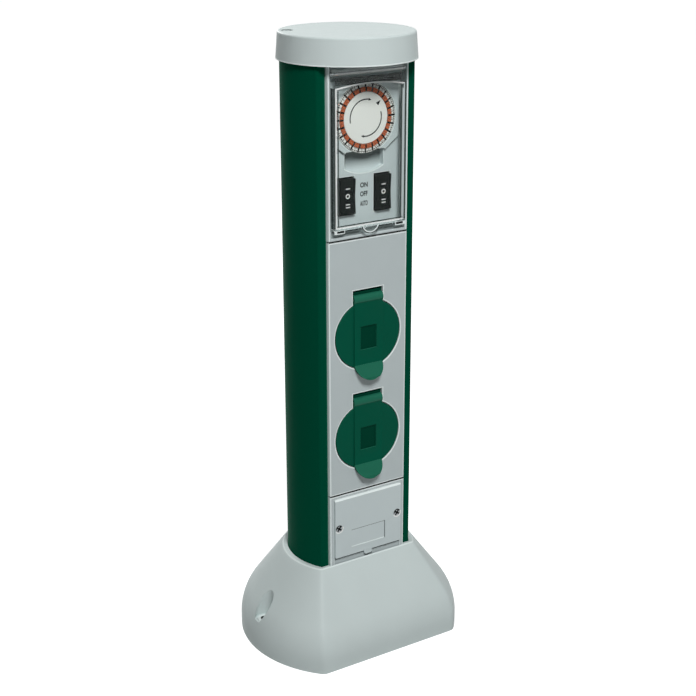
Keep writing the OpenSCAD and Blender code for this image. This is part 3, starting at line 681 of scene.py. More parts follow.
def cut(target, cutters):
    """Takes each cutter out of the target and gives the result as a bmesh; all of them are removed."""
    for cutter in cutters:
        boolean = target.modifiers.new("cut", "BOOLEAN")
        boolean.operation = "DIFFERENCE"
        boolean.solver = "EXACT"
        boolean.object = cutter
    evaluated = target.evaluated_get(bpy.context.evaluated_depsgraph_get())
    bm = bmesh.new()
    bm.from_mesh(evaluated.to_mesh())
    evaluated.to_mesh_clear()
    for thing in [target] + cutters:
        mesh = thing.data
        bpy.data.objects.remove(thing)
        bpy.data.meshes.remove(mesh)
    return bm


def add_hole(bm, x, y, low, high, radius, segments=48):
    """Adds an upright cylinder to a bmesh of cutters."""
    bmesh.ops.create_cone(
        bm,
        cap_ends=True,
        segments=segments,
        radius1=radius * MM,
        radius2=radius * MM,
        depth=(high - low) * MM,
        matrix=Matrix.Translation(at(x, -y, (low + high) / 2)),
    )


# %% [markdown]
# Boxes serve as cutters and as thin strips. A strip on a front plane stands a little proud of it and is a
# little sunk into it, so that it neither floats nor flickers. Most strips come in pairs, left and right.

# %% Helpers for boxes and strips
LIFT, SINK = 0.06, 0.1


def add_boxes(bm, *boxes):
    """Adds boxes, each given by its ranges across, in depth and in height, and gives the bmesh back."""
    for xs, ds, zs in boxes:
        (left, right), (back, front), (low, high) = sorted(xs), sorted(ds), sorted(zs)
        first, last = Vector((left, -front, low)), Vector((right, -back, high))
        centre = (first + last) / 2 * MM + Vector((0, axis_y, 0))
        place = Matrix.Translation(centre) @ Matrix.Diagonal((last - first) * MM).to_4x4()
        bmesh.ops.create_cube(bm, size=1, matrix=place)
    return bm


def pair(xs, ds, zs):
    """The same box on the left and on the right."""
    return [((s * xs[0], s * xs[1]), ds, zs) for s in (-1, 1)]


def skin(d, lift=LIFT, sink=SINK):
    """The range in depth of a thin strip on a front plane."""
    return d - sink, d + lift


print("a strip on the panel runs in depth from", skin(face_d))

# %% [markdown]
# The bell is spun twice: as the outside, and set in by the wall as the hollow. In the hollow a square boss
# stays round each ground screw. The rows of the profile lie close together where it bends.

# %% Outside and hollow of the foot
WALL, SEAT_Z, PLATE_T = 3.0, 58.0, 3.0
OUTER_CREASE, INNER_CREASE = 1.2, 2.0
SCREW_X, SCREW_R, BOSS_HALF = 74.0, 2.75, 9.5
EDGE_ROWS = [0.0, 0.25, 0.6, 3.0, 6.0, EDGE_H]
SIDE_ROWS = [33.5, 38.0, 43.0, 48.0, 53.0, 58.0, 62.0]
RIM_ROWS = [BASE_H - RIM_H, BASE_H - RIM_H / 2, BASE_H]
bulge_rows = [EDGE_H + BULGE_R * math.sin(math.radians(a)) for a in range(3, 37, 3)]
outer_rows = EDGE_ROWS + bulge_rows + SIDE_ROWS + RIM_ROWS
inner_rows = [-1.0, 3.0, EDGE_H] + bulge_rows + [38.0, 46.0, SEAT_Z - PLATE_T]
foot_block = loose("foot_block", bell(outer_rows, 0.0, OUTER_CREASE))
hollow = loose("foot_hollow", bell(inner_rows, WALL, INNER_CREASE))
bosses = pair((SCREW_X - BOSS_HALF, SCREW_X + BOSS_HALF), (-BOSS_HALF, BOSS_HALF), (-2, BASE_H))
hollow = loose("foot_hollow_cut", cut(hollow, [loose("bosses", add_boxes(bmesh.new(), *bosses))]))
print("outside faces", len(foot_block.data.polygons), "hollow faces", len(hollow.data.polygons))

# %% [markdown]
# The post stands in a D-shaped seat, a cylinder with its front cut off by a plane, and the front modules
# reach down into it. Pockets for the ground screws are sunk in the sides. The post's own screws and the
# cable gland go through the floor of the seat.

# %% Seat, pockets and holes of the foot
POCKET_R, POCKET_Z = 7.0, 22.0
PORT_X, PORT_Y, PORT_R, GLAND_R = 35.8, 19.0, 1.8, 8.3
PANEL_HALF, GAP, OVER, SEAT_STEPS = 32.2, 0.3, 5, 128
seat, pockets, holes = bmesh.new(), bmesh.new(), bmesh.new()
add_hole(seat, 0, 0, SEAT_Z, BASE_H + OVER, POST_R + GAP, SEAT_STEPS)
cut_off = bmesh.ops.bisect_plane(
    seat,
    geom=seat.verts[:] + seat.edges[:] + seat.faces[:],
    plane_co=at(0, FLAT_D + GAP, 0),
    plane_no=(0, -1, 0),
    clear_outer=True,
)
section = [e for e in cut_off["geom_cut"] if isinstance(e, bmesh.types.BMEdge)]
bmesh.ops.contextual_create(seat, geom=section)
bmesh.ops.recalc_face_normals(seat, faces=seat.faces)
half = PANEL_HALF + GAP
panel_seat = add_boxes(bmesh.new(), ((-half, half), (0, FLAT_D + 2 + GAP), (SEAT_Z, BASE_H + OVER)))
hole_low, hole_high = SEAT_Z - 2 * PLATE_T, SEAT_Z + 1
for s in (-1, 1):
    add_hole(pockets, s * SCREW_X, 0, POCKET_Z, BASE_H, POCKET_R)
    add_hole(holes, s * SCREW_X, 0, -3, BASE_H, SCREW_R)
    add_hole(holes, s * PORT_X, PORT_Y, hole_low, hole_high, PORT_R)
add_hole(holes, 0, 0, hole_low, hole_high, GLAND_R)
print("seat faces", len(seat.faces), "pocket faces", len(pockets.faces), "hole faces", len(holes.faces))

# %% [markdown]
# Now the foot is cut. The Boolean leaves a few open edges, which are filled, and the normals are made to
# agree. The rounded rim round the post faces up to the light and gets the lighter finish, a painted
# highlight.

# %% Cut the foot
FOOT_SHARP, RIM_UP = 30, 0.2
shapes = {"post_seat": seat, "panel_seat": panel_seat, "pockets": pockets, "holes": holes}
bm = cut(foot_block, [hollow] + [loose(name, shape) for name, shape in shapes.items()])
bmesh.ops.remove_doubles(bm, verts=bm.verts, dist=2 * SAME)
bmesh.ops.holes_fill(bm, edges=[e for e in bm.edges if e.is_boundary])
bmesh.ops.recalc_face_normals(bm, faces=bm.faces)
print("open edges of the foot", sum(1 for e in bm.edges if not e.is_manifold))
bm.normal_update()
for face in bm.faces:
    if face.calc_center_median().z > (BASE_H - RIM_H / 2) * MM and RIM_UP < face.normal.z < UP_HIGH:
        face.material_index = 1
finish_piece(
    "foot_moulding", bm, "pale_plastic", "housing", ("base_foot",), "pale_edge", FOOT_SHARP
)

# %% [markdown]
# A few rings finish cap and foot: a thin ring of painted highlight runs round the cap's lower edge, a dark
# ring of painted shade lies round the sunk screw of the cap, and each pocket of the foot has a raised ring
# of painted highlight round its screw hole, with a dark sleeve of painted shade inside the hole. A ring is a
# small rectangle of edges spun round an upright axis.

# %% Rings of cap and foot
RING_STEPS = 96


def add_ring(bm, centre, radii, heights):
    """Adds a ring round an upright axis, given by its ranges of radius and height in millimetres."""
    (inner, outer), (low, high) = radii, heights
    corners = [(inner, low), (outer, low), (outer, high), (inner, high)]
    loop = [bm.verts.new((centre.x + radius * MM, centre.y, z * MM)) for radius, z in corners]
    sides = [bm.edges.new((loop[k], loop[k - 1])) for k in range(4)]
    foot = (centre.x, centre.y, 0)
    spin(bm, loop + sides, foot, (0, 0, 1), math.tau, RING_STEPS, use_merge=True)
    bmesh.ops.remove_doubles(bm, verts=bm.verts, dist=SAME)
    bmesh.ops.recalc_face_normals(bm, faces=bm.faces)


cap_r = right_of("top_cap")
cap_low, cap_high = heights_of("top_cap")
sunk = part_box("cap_screw")
sunk_r = (sunk[1].x - sunk[0].x) / 2 / MM
rim_bm, screw_shade_bm, boss_bm, hole_shade_bm = [bmesh.new() for k in range(4)]
add_ring(rim_bm, at(0, 0, 0), (cap_r - 0.4, cap_r + 0.05), (cap_low + 0.05, cap_low + 0.9))
add_ring(screw_shade_bm, middle("cap_screw"), (sunk_r - 0.05, sunk_r + 0.2), (cap_high - 0.3, cap_high + 0.03))
for s in (-1, 1):
    hole = at(s * SCREW_X, 0, 0)
    add_ring(boss_bm, hole, (SCREW_R + 0.3, SCREW_R + 2.4), (POCKET_Z - 0.3, POCKET_Z + 0.8))
    add_ring(hole_shade_bm, hole, (SCREW_R - 0.9, SCREW_R + 0.2), (POCKET_Z - 8, POCKET_Z + 0.6))
finish_piece("cap_rim_highlight", rim_bm, "panel_edge")
finish_piece("cap_screw_shade", screw_shade_bm, "panel_shade")
finish_piece("pocket_highlights", boss_bm, "panel_edge")
finish_piece("pocket_hole_shades", hole_shade_bm, "rubber")

# %% [markdown]
# The clear cover is a pressed sheet: a raised window with an arched top, and a narrow margin round it. Its
# places come from the cover's box: the thumb tab reaches below the sheet, and stands in front of it.

# %% Places on the timer's cover
WINDOW_EDGE, WINDOW_TOP, WINDOW_RISE = 2.7, 417.7, 0.8
COVER_RISE, THUMB_DROP = 1.2, 3.8
cover_half = right_of("timer_cover")
cover_low = heights_of("timer_cover")[0] + THUMB_DROP
cover_d = front_of("timer_cover") - COVER_RISE
window_d = cover_d + WINDOW_RISE
window_half = cover_half - WINDOW_EDGE
hinge_z = middle("cover_rod").z / MM
print("window", round(2 * window_half, 2), "mm wide, hinge at", round(hinge_z, 2))

# %% [markdown]
# The window's edge shows as a bright line, duller and wider on the right. A thin bead carries that painted
# highlight: the window's outline is made a face and inset, and the inside is thrown away.

# %% Bead of the window
WINDOW_R, ARCH_STEPS = 153.0, 24
BEAD_W, BEAD_H, DIM_HIGHLIGHT_W = 1.0, 0.35, 1.2


def face_front(faces):
    """Turns faces so that they look to the front."""
    for face in faces:
        face.normal_update()
        if face.normal.y > 0:
            face.normal_flip()


def arched_face(bm, half, low, top, d):
    """Adds a face with straight sides and an arched top, and gives it back."""
    foot = top - WINDOW_R
    first = bm.verts.new(at(half, d, foot + math.sqrt(WINDOW_R**2 - half**2)))
    turn = 2 * math.asin(half / WINDOW_R)
    last = spin(bm, [first], at(0, d, foot), (0, -1, 0), turn, ARCH_STEPS)[0]
    loop = [last, bm.verts.new(at(-half, d, low)), bm.verts.new(at(half, d, low)), first]
    for ends in zip(loop, loop[1:]):
        bm.edges.new(ends)
    face = bmesh.ops.contextual_create(bm, geom=bm.edges[:])["faces"][0]
    face_front([face])
    return face


bead_bm = bmesh.new()
sill, head = cover_low + WINDOW_EDGE - BEAD_W, WINDOW_TOP + BEAD_W
window = arched_face(bead_bm, window_half + BEAD_W, sill, head, cover_d + BEAD_H)
bmesh.ops.inset_region(
    bead_bm, faces=[window], thickness=BEAD_W * MM, use_even_offset=True, use_boundary=True
)
bmesh.ops.delete(bead_bm, geom=[window], context="FACES_ONLY")
bmesh.ops.solidify(bead_bm, geom=bead_bm.faces[:], thickness=(BEAD_H + SINK) * MM)
across = (-window_half, window_half)
# A bright bar on the hinge barrel is a painted highlight too.
add_boxes(bead_bm, (across, (cover_d - 1.2, cover_d - 0.9), (hinge_z - 0.4, hinge_z + 0.4)))
# On the right the bead takes the duller painted highlight.
for face in bead_bm.faces:
    if face.calc_center_median().x > (window_half - SINK) * MM:
        face.material_index = 1
finish_piece("cover_bead_highlight", bead_bm, "milky_plastic", "cover", edge="hazy_plastic")
# A duller strip of painted highlight lies just inside the window's right edge.
dim_highlight = (window_half - DIM_HIGHLIGHT_W, window_half - SINK), skin(window_d), (cover_low + 4, WINDOW_TOP - 5)
finish_piece("cover_dim_highlight", add_boxes(bmesh.new(), dim_highlight), "hazy_plastic", "cover")

# %% [markdown]
# Outside the window the sheet bends back to the frame, and the margins look dark. Smoky strips of painted
# shade lie on the margins, on the side walls, just inside the window, and behind the sheet at the hinge and
# the lower edge.

# %% Margins of the timer's cover
DARK_W, WALL_DEEP, BEHIND = 0.9, 3.2, 2.1


def strips(name, look, boxes, body="housing"):
    """Finishes a piece that is made of boxes only."""
    finish_piece(name, add_boxes(bmesh.new(), *boxes), look, body)


strip_low, strip_high = cover_low + 2, WINDOW_TOP - 1
strip_zs = (strip_low, strip_high)
boxes = pair((window_half + BEAD_W + 0.1, cover_half - 0.1), skin(cover_d), strip_zs)
boxes += pair((cover_half - SINK, cover_half + LIFT), (cover_d - WALL_DEEP, cover_d - 0.2), strip_zs)
for s, inside in ((-1, 0.3), (1, DIM_HIGHLIGHT_W + 0.1)):
    dark_x = window_half - inside
    dark_xs = (s * (dark_x - DARK_W), s * dark_x)
    boxes.append((dark_xs, skin(window_d), (strip_low + 1.4, strip_high - 2)))
behind = (cover_d - BEHIND, cover_d - BEHIND + 0.3)
boxes.append((across, behind, (WINDOW_TOP, hinge_z - 2.8)))
boxes.append((across, behind, (cover_low + 1.7, cover_low + WINDOW_EDGE + 0.4)))
strips("cover_margin_shades", "smoky_plastic", boxes, "cover")

# %% [markdown]
# Between the modules a thin black strip of painted shade fills each seam, so that the seams read as crisp
# dark lines. Thin strips of painted highlight run along the rails of the timer, the sides of the modules
# that stand out of the post's flat, and the upper edge below each seam.

# %% Painted shade in the seams, painted highlights on the modules
SEAM_SHADE_IN, SEAM_SHADE_DEEP, DEEP, SIDE_END = 0.4, 3, 0.3, 0.4
MODULES = ("terminal_frame", "socket_panel", "timer_frame")
boxes = []
seam_shade_xs = (SEAM_SHADE_IN - PANEL_HALF, PANEL_HALF - SEAM_SHADE_IN)
for below, above in zip(MODULES, MODULES[1:]):
    low, high = heights_of(below)[1] + 0.05, heights_of(above)[0] - 0.05
    boxes.append((seam_shade_xs, (face_d - SEAM_SHADE_DEEP, face_d - SINK), (low, high)))
    boxes.append((seam_shade_xs, skin(face_d, 0.05), (low - 0.2, high + 0.2)))
strips("seam_shades", "rubber", boxes)

rail_low, rail_high = heights_of("timer_frame")[0] + 0.6, heights_of("timer_frame")[1] - 0.6
rail_ds = skin(face_d, LIFT, DEEP)
boxes = pair((PANEL_HALF - 1.2, PANEL_HALF - 0.3), rail_ds, (rail_low, rail_high))
for module in MODULES:
    low, high = heights_of(module)
    side_zs = (max(low + SIDE_END, BASE_H + 0.5), high - SIDE_END)
    boxes += pair((PANEL_HALF - 0.1, PANEL_HALF + 0.05), (FLAT_D + 0.05, face_d - 0.5), side_zs)
    if module != "timer_frame":
        boxes.append(((0.6 - PANEL_HALF, PANEL_HALF - 0.6), rail_ds, (high - 1.1, high - 0.3)))
strips("rail_lights", "panel_edge", boxes)

# %% [markdown]
# The recess of the timer ends below in a slope that lies in the cover's shade, and the inner edges of the
# rails are in shade too. A darker sheet of painted shade lies on the slope, and thin strips of it on the
# rails.

# %% Shades of the recess
SLOPE_LOW, SLOPE_HIGH, SLOPE_BACK, WIN_HALF = 314.0, 319.0, 3.0, 29.8
SLOPE_T, SLOPE_END, SLOPE_UP = 0.12, 1.4, 0.5
lean = Matrix.Rotation(-math.atan2(SLOPE_BACK, SLOPE_HIGH - SLOPE_LOW), 4, "X")
tall = math.hypot(SLOPE_BACK, SLOPE_HIGH - SLOPE_LOW) - SLOPE_END
spot = Matrix.Translation(at(0, face_d - SLOPE_BACK / 2, (SLOPE_LOW + SLOPE_HIGH) / 2)) @ lean
size = Matrix.Diagonal((2 * (WIN_HALF - 0.3) * MM, SLOPE_T * MM, tall * MM, 1))
recess_bm = bmesh.new()
bmesh.ops.create_cube(recess_bm, size=1, matrix=spot @ Matrix.Translation((0, 0, SLOPE_UP * MM)) @ size)
shade_zs = (cover_low, rail_high - 8)
add_boxes(recess_bm, *pair((WIN_HALF + 0.05, WIN_HALF + 0.8), skin(face_d, 0.05, DEEP), shade_zs))
finish_piece("recess_shades", recess_bm, "panel_dusk")

# %% [markdown]
# The terminal cover stands a little proud of its frame and throws a thin shadow below its lower edge and
# round its latch; dark strips there are painted shadow. Its bare label plate is a shallow recess, with
# painted shade under the upper edge and along the right one, and a painted highlight on the lower.

# %% Terminal cover
LABEL_HALF, LABEL_LOW, LABEL_HIGH, LABEL_SUNK = 14.8, -17.8, -3.5, 0.35
LABEL_DARK, LABEL_LIGHT, LATCH_HALF, LATCH_DROP = 0.5, 0.7, 3.3, 3.4
latch_low, term_high = heights_of("terminal_cover")
term_low = latch_low + LATCH_DROP
term_mid = (term_low + term_high) / 2
shadow_d = skin(frame_d, 0.2)
shadow_xs = (LATCH_HALF + 0.2, right_of("terminal_cover") - 0.4)
boxes = pair(shadow_xs, shadow_d, (term_low - 1.4, term_low - 0.1))
boxes.append(((1 - LATCH_HALF, LATCH_HALF + 0.6), shadow_d, (latch_low - 1.2, latch_low - 0.1)))
label_d, label_xs = skin(term_d - LABEL_SUNK, 0.05), (-LABEL_HALF, LABEL_HALF)
label_low, label_high = term_mid + LABEL_LOW, term_mid + LABEL_HIGH
boxes.append((label_xs, label_d, (label_high - LABEL_DARK, label_high)))
boxes.append(((LABEL_HALF - LABEL_DARK, LABEL_HALF), label_d, (label_low, label_high)))
strips("terminal_shades", "panel_shade", boxes)
light = (label_xs, label_d, (label_low, label_low + LABEL_LIGHT))
strips("label_light", "panel_edge", [light])

# %% [markdown]
# The pull tab of a lid is a round lip that leans out: an arc is spun, closed to a face, sheared outwards and
# given a thickness and a soft rim. It faces up to the light and takes the lid's lighter finish, a painted
# highlight. The square mark on the band is sunk, and a dark green patch of painted shade lies on its floor.
# Above each hinge roll a dark green wall of painted shade closes the top of the panel's notch.

# %% Marks and tabs of the lids
MARK_HALF, MARK_LOW, MARK_HIGH, MARK_SUNK = 6.6, 10.4, 6.8, 1.0
TAB_LOW, TAB_START, TAB_OUT, TAB_R, TAB_STEPS = 32.0, 21.5, 5.7, 12.0, 32
PAD_T, PAD_PROUD, PAD_ROUND, PAD_CORNER = 1.0, 0.25, 0.3, math.radians(60)
AXIS_UP, NOTCH_HALF, BAND_PROUD = 26.5, 12.2, 0.9


def pull_tab(centre_z, d):
    """The round pull tab: part of a disc that leans out from the band towards its lower edge."""
    bm = bmesh.new()
    disc_z = centre_z - TAB_LOW + TAB_R - 0.2
    start_z = centre_z - TAB_START
    corner = math.asin((disc_z - start_z) / TAB_R)
    first = bm.verts.new(at(TAB_R * math.cos(corner), d, start_z))
    last = spin(bm, [first], at(0, d, disc_z), (0, 1, 0), math.pi - 2 * corner, TAB_STEPS)[0]
    bm.edges.new((last, first))
    face = bmesh.ops.contextual_create(bm, geom=bm.edges[:])["faces"][0]
    for v in face.verts:
        v.co.y -= TAB_OUT / (TAB_LOW - TAB_START) * (start_z - v.co.z / MM) * MM
    face_front([face])
    bmesh.ops.solidify(bm, geom=[face], thickness=PAD_T * MM)
    rim = [e for e in bm.edges if e.calc_face_angle(0) > PAD_CORNER]
    bmesh.ops.bevel(
        bm, geom=rim, offset=PAD_ROUND * MM, affect="EDGES", segments=2, profile=0.5, material=-1
    )
    return bm


boxes = []
band_d = face_d + BAND_PROUD
for node in LIDS:
    body = body_of[node]
    centre_z = heights_of(node)[0] + TAB_LOW
    finish_piece(node + "_tab", pull_tab(centre_z, band_d + PAD_PROUD), "lid_edge", body)
    roof = centre_z + AXIS_UP + ROLL_R
    notch_xs = (0.3 - NOTCH_HALF, NOTCH_HALF - 0.3)
    boxes.append((notch_xs, (face_d - 4, face_d - 1.2), (roof + 0.3, roof + 2.0)))
    mark_zs = (centre_z - MARK_LOW, centre_z + MARK_HIGH)
    mark = ((-MARK_HALF, MARK_HALF), skin(band_d - MARK_SUNK), mark_zs)
    strips(node + "_mark", "lid_shade", [mark], body)
strips("hinge_notch_shades", "lid_shade", boxes)

# %% [markdown]
# The printing is thin ink. Words start as text, are made a mesh, and stand upright on the front with half
# their thickness sunk into the surface, so that they neither float nor flicker.

# %% Helper for printed words
INK_T, ANY_WIDTH = 0.06, 99.0


def add_words(bm, words, height, place, widest=ANY_WIDTH, bold=0.0):
    """Adds a word, height millimetres tall, with its middle at the origin of a placing matrix."""
    curve = bpy.data.curves.new("words", "FONT")
    curve.body = words
    curve.size = height * MM
    curve.resolution_u = 3
    curve.extrude = INK_T / 2 * MM
    curve.offset = bold * MM
    holder = place_object("words", curve)
    evaluated = holder.evaluated_get(bpy.context.evaluated_depsgraph_get())
    mesh = bpy.data.meshes.new_from_object(evaluated)
    bpy.data.objects.remove(holder)
    bpy.data.curves.remove(curve)
    xs = [v.co.x for v in mesh.vertices]
    ys = [v.co.y for v in mesh.vertices]
    tall = height * MM / (max(ys) - min(ys))
    wide = min(tall, widest * MM / (max(xs) - min(xs)))
    centre = Vector(((max(xs) + min(xs)) / 2, (max(ys) + min(ys)) / 2, 0))
    upright = Matrix.Rotation(math.pi / 2, 4, "X")
    size = Matrix.Diagonal((wide, tall, 1, 1))
    mesh.transform(place @ upright @ size @ Matrix.Translation(-centre))
    bm.from_mesh(mesh)
    bpy.data.meshes.remove(mesh)


print("ink is", INK_T, "mm thick")

# %% [markdown]
# Printed bars are flat boxes. Rings and arcs are short radial edges spun round a centre and given the ink's
# thickness, which leaves them round at any size. The same bars and arcs also serve for painted highlights
# and painted shade.

# %% Helpers for printed bars and arcs
ARC_STEPS, FULL_TURN = 36, 360.0


def add_mark(bm, width, height, place):
    """Adds a plain printed bar with its middle at the origin of a placing matrix."""
    size = Matrix.Diagonal((width * MM, INK_T * MM, height * MM, 1))
    bmesh.ops.create_cube(bm, size=1, matrix=place @ size)


def add_arc(bm, place, radii, start=0.0, turn=FULL_TURN):
    """Adds a printed ring at (x, d, z), or the part of it that runs clockwise from an angle."""
    x, d, z = place
    ink_d = d + INK_T / 2
    angle = math.radians(start)
    arc_bm = bmesh.new()
    spots = [at(x + r * math.cos(angle), ink_d, z + r * math.sin(angle)) for r in radii]
    ends = [arc_bm.verts.new(spot) for spot in spots]
    geom = ends + [arc_bm.edges.new(ends)]
    whole = turn == FULL_TURN
    spin(arc_bm, geom, at(x, ink_d, z), (0, 1, 0), math.radians(turn), ARC_STEPS, use_merge=whole)
    face_front(arc_bm.faces)
    bmesh.ops.solidify(arc_bm, geom=arc_bm.faces[:], thickness=INK_T * MM)
    mesh = mesh_of("arc", arc_bm)
    bm.from_mesh(mesh)
    bpy.data.meshes.remove(mesh)


print("an arc has", ARC_STEPS, "steps")

# %% [markdown]
# The two screws of the terminal cover are bright, and dark crosses of painted shade lie in their slots. The
# hole round each head has an eased edge: it is dark above the head and light below it, so two arcs stand for
# it, of painted shade and painted highlight.

# %% Screws of the terminal cover
HEAD_R, SLOT_L, SLOT_W, SLOT_TURN = 2.8, 4.6, 1.4, 35
LIGHT_ARC, DARK_ARC = (20, 170), (190, 160)
screw_x = right_of("cover_screws") - HEAD_R
slot_shade_bm, hole_highlight_bm = bmesh.new(), bmesh.new()
for s in (-1, 1):
    place = (s * screw_x, term_d, term_mid)
    for turn in (SLOT_TURN, SLOT_TURN + 90):
        turned = Matrix.Translation(at(*place)) @ Matrix.Rotation(math.radians(turn), 4, "Y")
        add_mark(slot_shade_bm, SLOT_L, SLOT_W, turned)
    add_arc(hole_highlight_bm, place, (HEAD_R, HEAD_R + 0.9), *LIGHT_ARC)
    add_arc(slot_shade_bm, place, (HEAD_R - 0.7, HEAD_R + 0.1), *DARK_ARC)
finish_piece("screw_slot_shades", slot_shade_bm, "black_print")
finish_piece("screw_hole_highlights", hole_highlight_bm, "white_print")

# %% [markdown]
# The lower edge of the clear cover has two feet and a thumb tab. Painted highlights flash white on their
# edges, a dark inset of painted shade lies in each foot, and thin lines of painted shadow lie below them,
# where the cover stands off the frame.

# %% Lower edge of the cover
PAD_W, PAD_LOW, PAD_HIGH, THUMB_R, THUMB_UP = 8.8, 1.8, 0.6, 7.0, 3.2
pad_x = cover_half - PAD_W
pad_zs = (cover_low - PAD_LOW, cover_low + PAD_HIGH)
flash = pair((pad_x + 0.1, cover_half - 0.3), (cover_d + 0.6, cover_d + 0.7), pad_zs)
inset_zs = (cover_low - 1.2, cover_low + 0.35)
dark = pair((pad_x + 0.7, cover_half - 2.5), (cover_d + 0.65, cover_d + 0.75), inset_zs)
dark += pair((THUMB_R + 0.3, pad_x - 0.1), (cover_d - 1, cover_d), (cover_low - 0.7, cover_low - 0.05))
flash_bm, dark_bm = add_boxes(bmesh.new(), *flash), add_boxes(bmesh.new(), *dark)
thumb_turn = math.degrees(math.acos((THUMB_UP - 1) / THUMB_R))
thumb = (0, cover_d + COVER_RISE, cover_low + THUMB_UP)
add_arc(flash_bm, thumb, (THUMB_R - 0.8, THUMB_R), thumb_turn - 90, 2 * thumb_turn)
add_arc(dark_bm, thumb, (THUMB_R + 0.05, THUMB_R + 0.6), thumb_turn - 90, 2 * thumb_turn)
finish_piece("cover_foot_shades", dark_bm, "black_print", "cover")
finish_piece("cover_foot_highlights", flash_bm, "panel_edge", "cover")

# %% [markdown]
# The plate under the dial has a finger scoop with a bright arched lip, a painted highlight: part of a ring.
# The scoop itself is a cove, deep under the dial and running out to the plate at its lip. Its finish darkens
# towards the dial, by the height on Object coordinates: painted shade under the dial.

# %% Lip and finish of the scoop
SCOOP_R, SCOOP_DROP, SCOOP_HALF = 32.0, 37.7, 15.7
COVE_FOOT, COVE_SHADED = 1.0, 10.5
COVE_LIGHT, COVE_DARK = display(200, 211, 212), display(112, 121, 121)
dial_z = middle("dial_disc").z / MM
scoop_low = dial_z - SCOOP_DROP
scoop_z = scoop_low + SCOOP_R
half_arc = math.degrees(math.asin(SCOOP_HALF / SCOOP_R))
lip_bm = bmesh.new()
add_arc(lip_bm, (0, plate_d, scoop_z), (SCOOP_R - 0.1, SCOOP_R + 0.7), half_arc - 90, 2 * half_arc)
finish_piece("scoop_lip_highlight", lip_bm, "panel_edge")


def cove_plastic(name):
    """The plate's plastic, darkened by painted shade from the lip of the scoop up to the dial."""
    material, tree, shader = principled(name, Specular_IOR_Level=0.1)
    place = add_node(tree, "TexCoord")
    split = add_node(tree, "SeparateXYZ")
    span = {"From_Min": (scoop_low + COVE_FOOT) * MM, "From_Max": (scoop_low + COVE_SHADED) * MM}
    fade = add_node(tree, "MapRange", {"interpolation_type": "SMOOTHSTEP"}, **span)
    mix = add_node(tree, "Mix", {"data_type": "RGBA"}, A=COVE_LIGHT, B=COVE_DARK)
    join(
        tree,
        (place, "Object", split, 0),
        (split, "Z", fade, "Value"),
        (fade, "Result", mix, "Factor"),
        (mix, "Result", shader, "Base Color"),
    )
    gloss(tree, shader, 0.45, 0.6, 6)
    texture(tree, shader, 0.5, 0.012)
    return material


finish["cove_plastic"] = cove_plastic("cove_plastic")

# %% [markdown]
# A thin lining, a sheet of painted shade, carries that finish. The cove's profile is a row of edges, stepped
# across the scoop by spin with an offset and no turn, and what lies below the arched lip is deleted. The
# lining stands a little clear of the solid, whose own steps would otherwise come through.

# %% Lining of the scoop
SCOOP_TOP_DROP, COVE_BEHIND, LINING_LIFT = 22.0, 1.2, 0.2
COVE_STEPS, COVE_IN, LIP_CLEAR = 40, 0.1, 0.4
cove_rise = SCOOP_DROP - SCOOP_TOP_DROP - 1
cove_depth = plate_d - depth_of(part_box("dial_ring")[1].y) + COVE_BEHIND
bm = bmesh.new()
profile = []
for degrees in range(6, 91, 6):
    turn = math.radians(degrees)
    d = plate_d - (cove_depth - LINING_LIFT) * math.sin(turn)
    z = scoop_low + cove_rise * (1 - math.cos(turn)) + LINING_LIFT * math.cos(turn)
    profile.append(bm.verts.new(at(COVE_IN - SCOOP_HALF, d, z)))
rows = [bm.edges.new(ends) for ends in zip(profile, profile[1:])]
step = (2 * (SCOOP_HALF - COVE_IN) / COVE_STEPS * MM, 0, 0)
spin(bm, profile + rows, (0, 0, 0), (1, 0, 0), 0, COVE_STEPS, dvec=step)
below = []
for face in bm.faces:
    spot = face.calc_center_median() / MM
    if spot.z < scoop_z - math.sqrt(SCOOP_R**2 - spot.x**2) + LIP_CLEAR:
        below.append(face)
bmesh.ops.delete(bm, geom=below, context="FACES")
face_front(bm.faces)
bmesh.ops.solidify(bm, geom=bm.faces[:], thickness=LINING_LIFT * MM)
print("cove", round(cove_depth, 2), "mm deep and", round(cove_rise, 2), "mm high")
finish_piece("scoop_shade_lining", bm, "cove_plastic")

# %% [markdown]
# The dial's surround is raised. Its two slanted lower edges throw thin shadows: a bar of painted shadow lies
# along each one.
# Between the rockers the plate names their three places, in the generic words of a timer switch.

# %% Shade of the surround, words of the plate
SIDE_DROP, LOW_DROP, SHADE_W, SHADE_OUT = 14.5, 23.0, 0.9, 0.25
WORD_ROWS = (("ON", 347.8), ("OFF", 341.6), ("AUTO", 334.9))
WORD_H, WORD_W, WORD_BOLD = 3.6, 6.2, 0.12
surround_bm, words_bm = bmesh.new(), bmesh.new()
side_x, low_x = cover_half - 2.1, SCOOP_HALF + 0.6
run = Vector((side_x - low_x, LOW_DROP - SIDE_DROP))
shade_z = dial_z - (SIDE_DROP + LOW_DROP) / 2 - SHADE_W / 2
for s in (-1, 1):
    spot = Matrix.Translation(at(s * ((side_x + low_x) / 2 + SHADE_OUT), plate_d, shade_z))
    lean = Matrix.Rotation(-s * math.atan2(run.y, run.x), 4, "Y")
    add_mark(surround_bm, run.length, SHADE_W, spot @ lean)
finish_piece("surround_shades", surround_bm, "panel_shade")
for words, z in WORD_ROWS:
    add_words(words_bm, words, WORD_H, Matrix.Translation(at(0, plate_d, z)), WORD_W, WORD_BOLD)
finish_piece("plate_words", words_bm, "black_print")

# %% [markdown]
# The ring of the dial carries the day: a bold bar for each hour, three fine ticks between, and the hours in
# small numbers. Dark gaps part the orange trips. All of it turns with the ring, so it rides on its body.

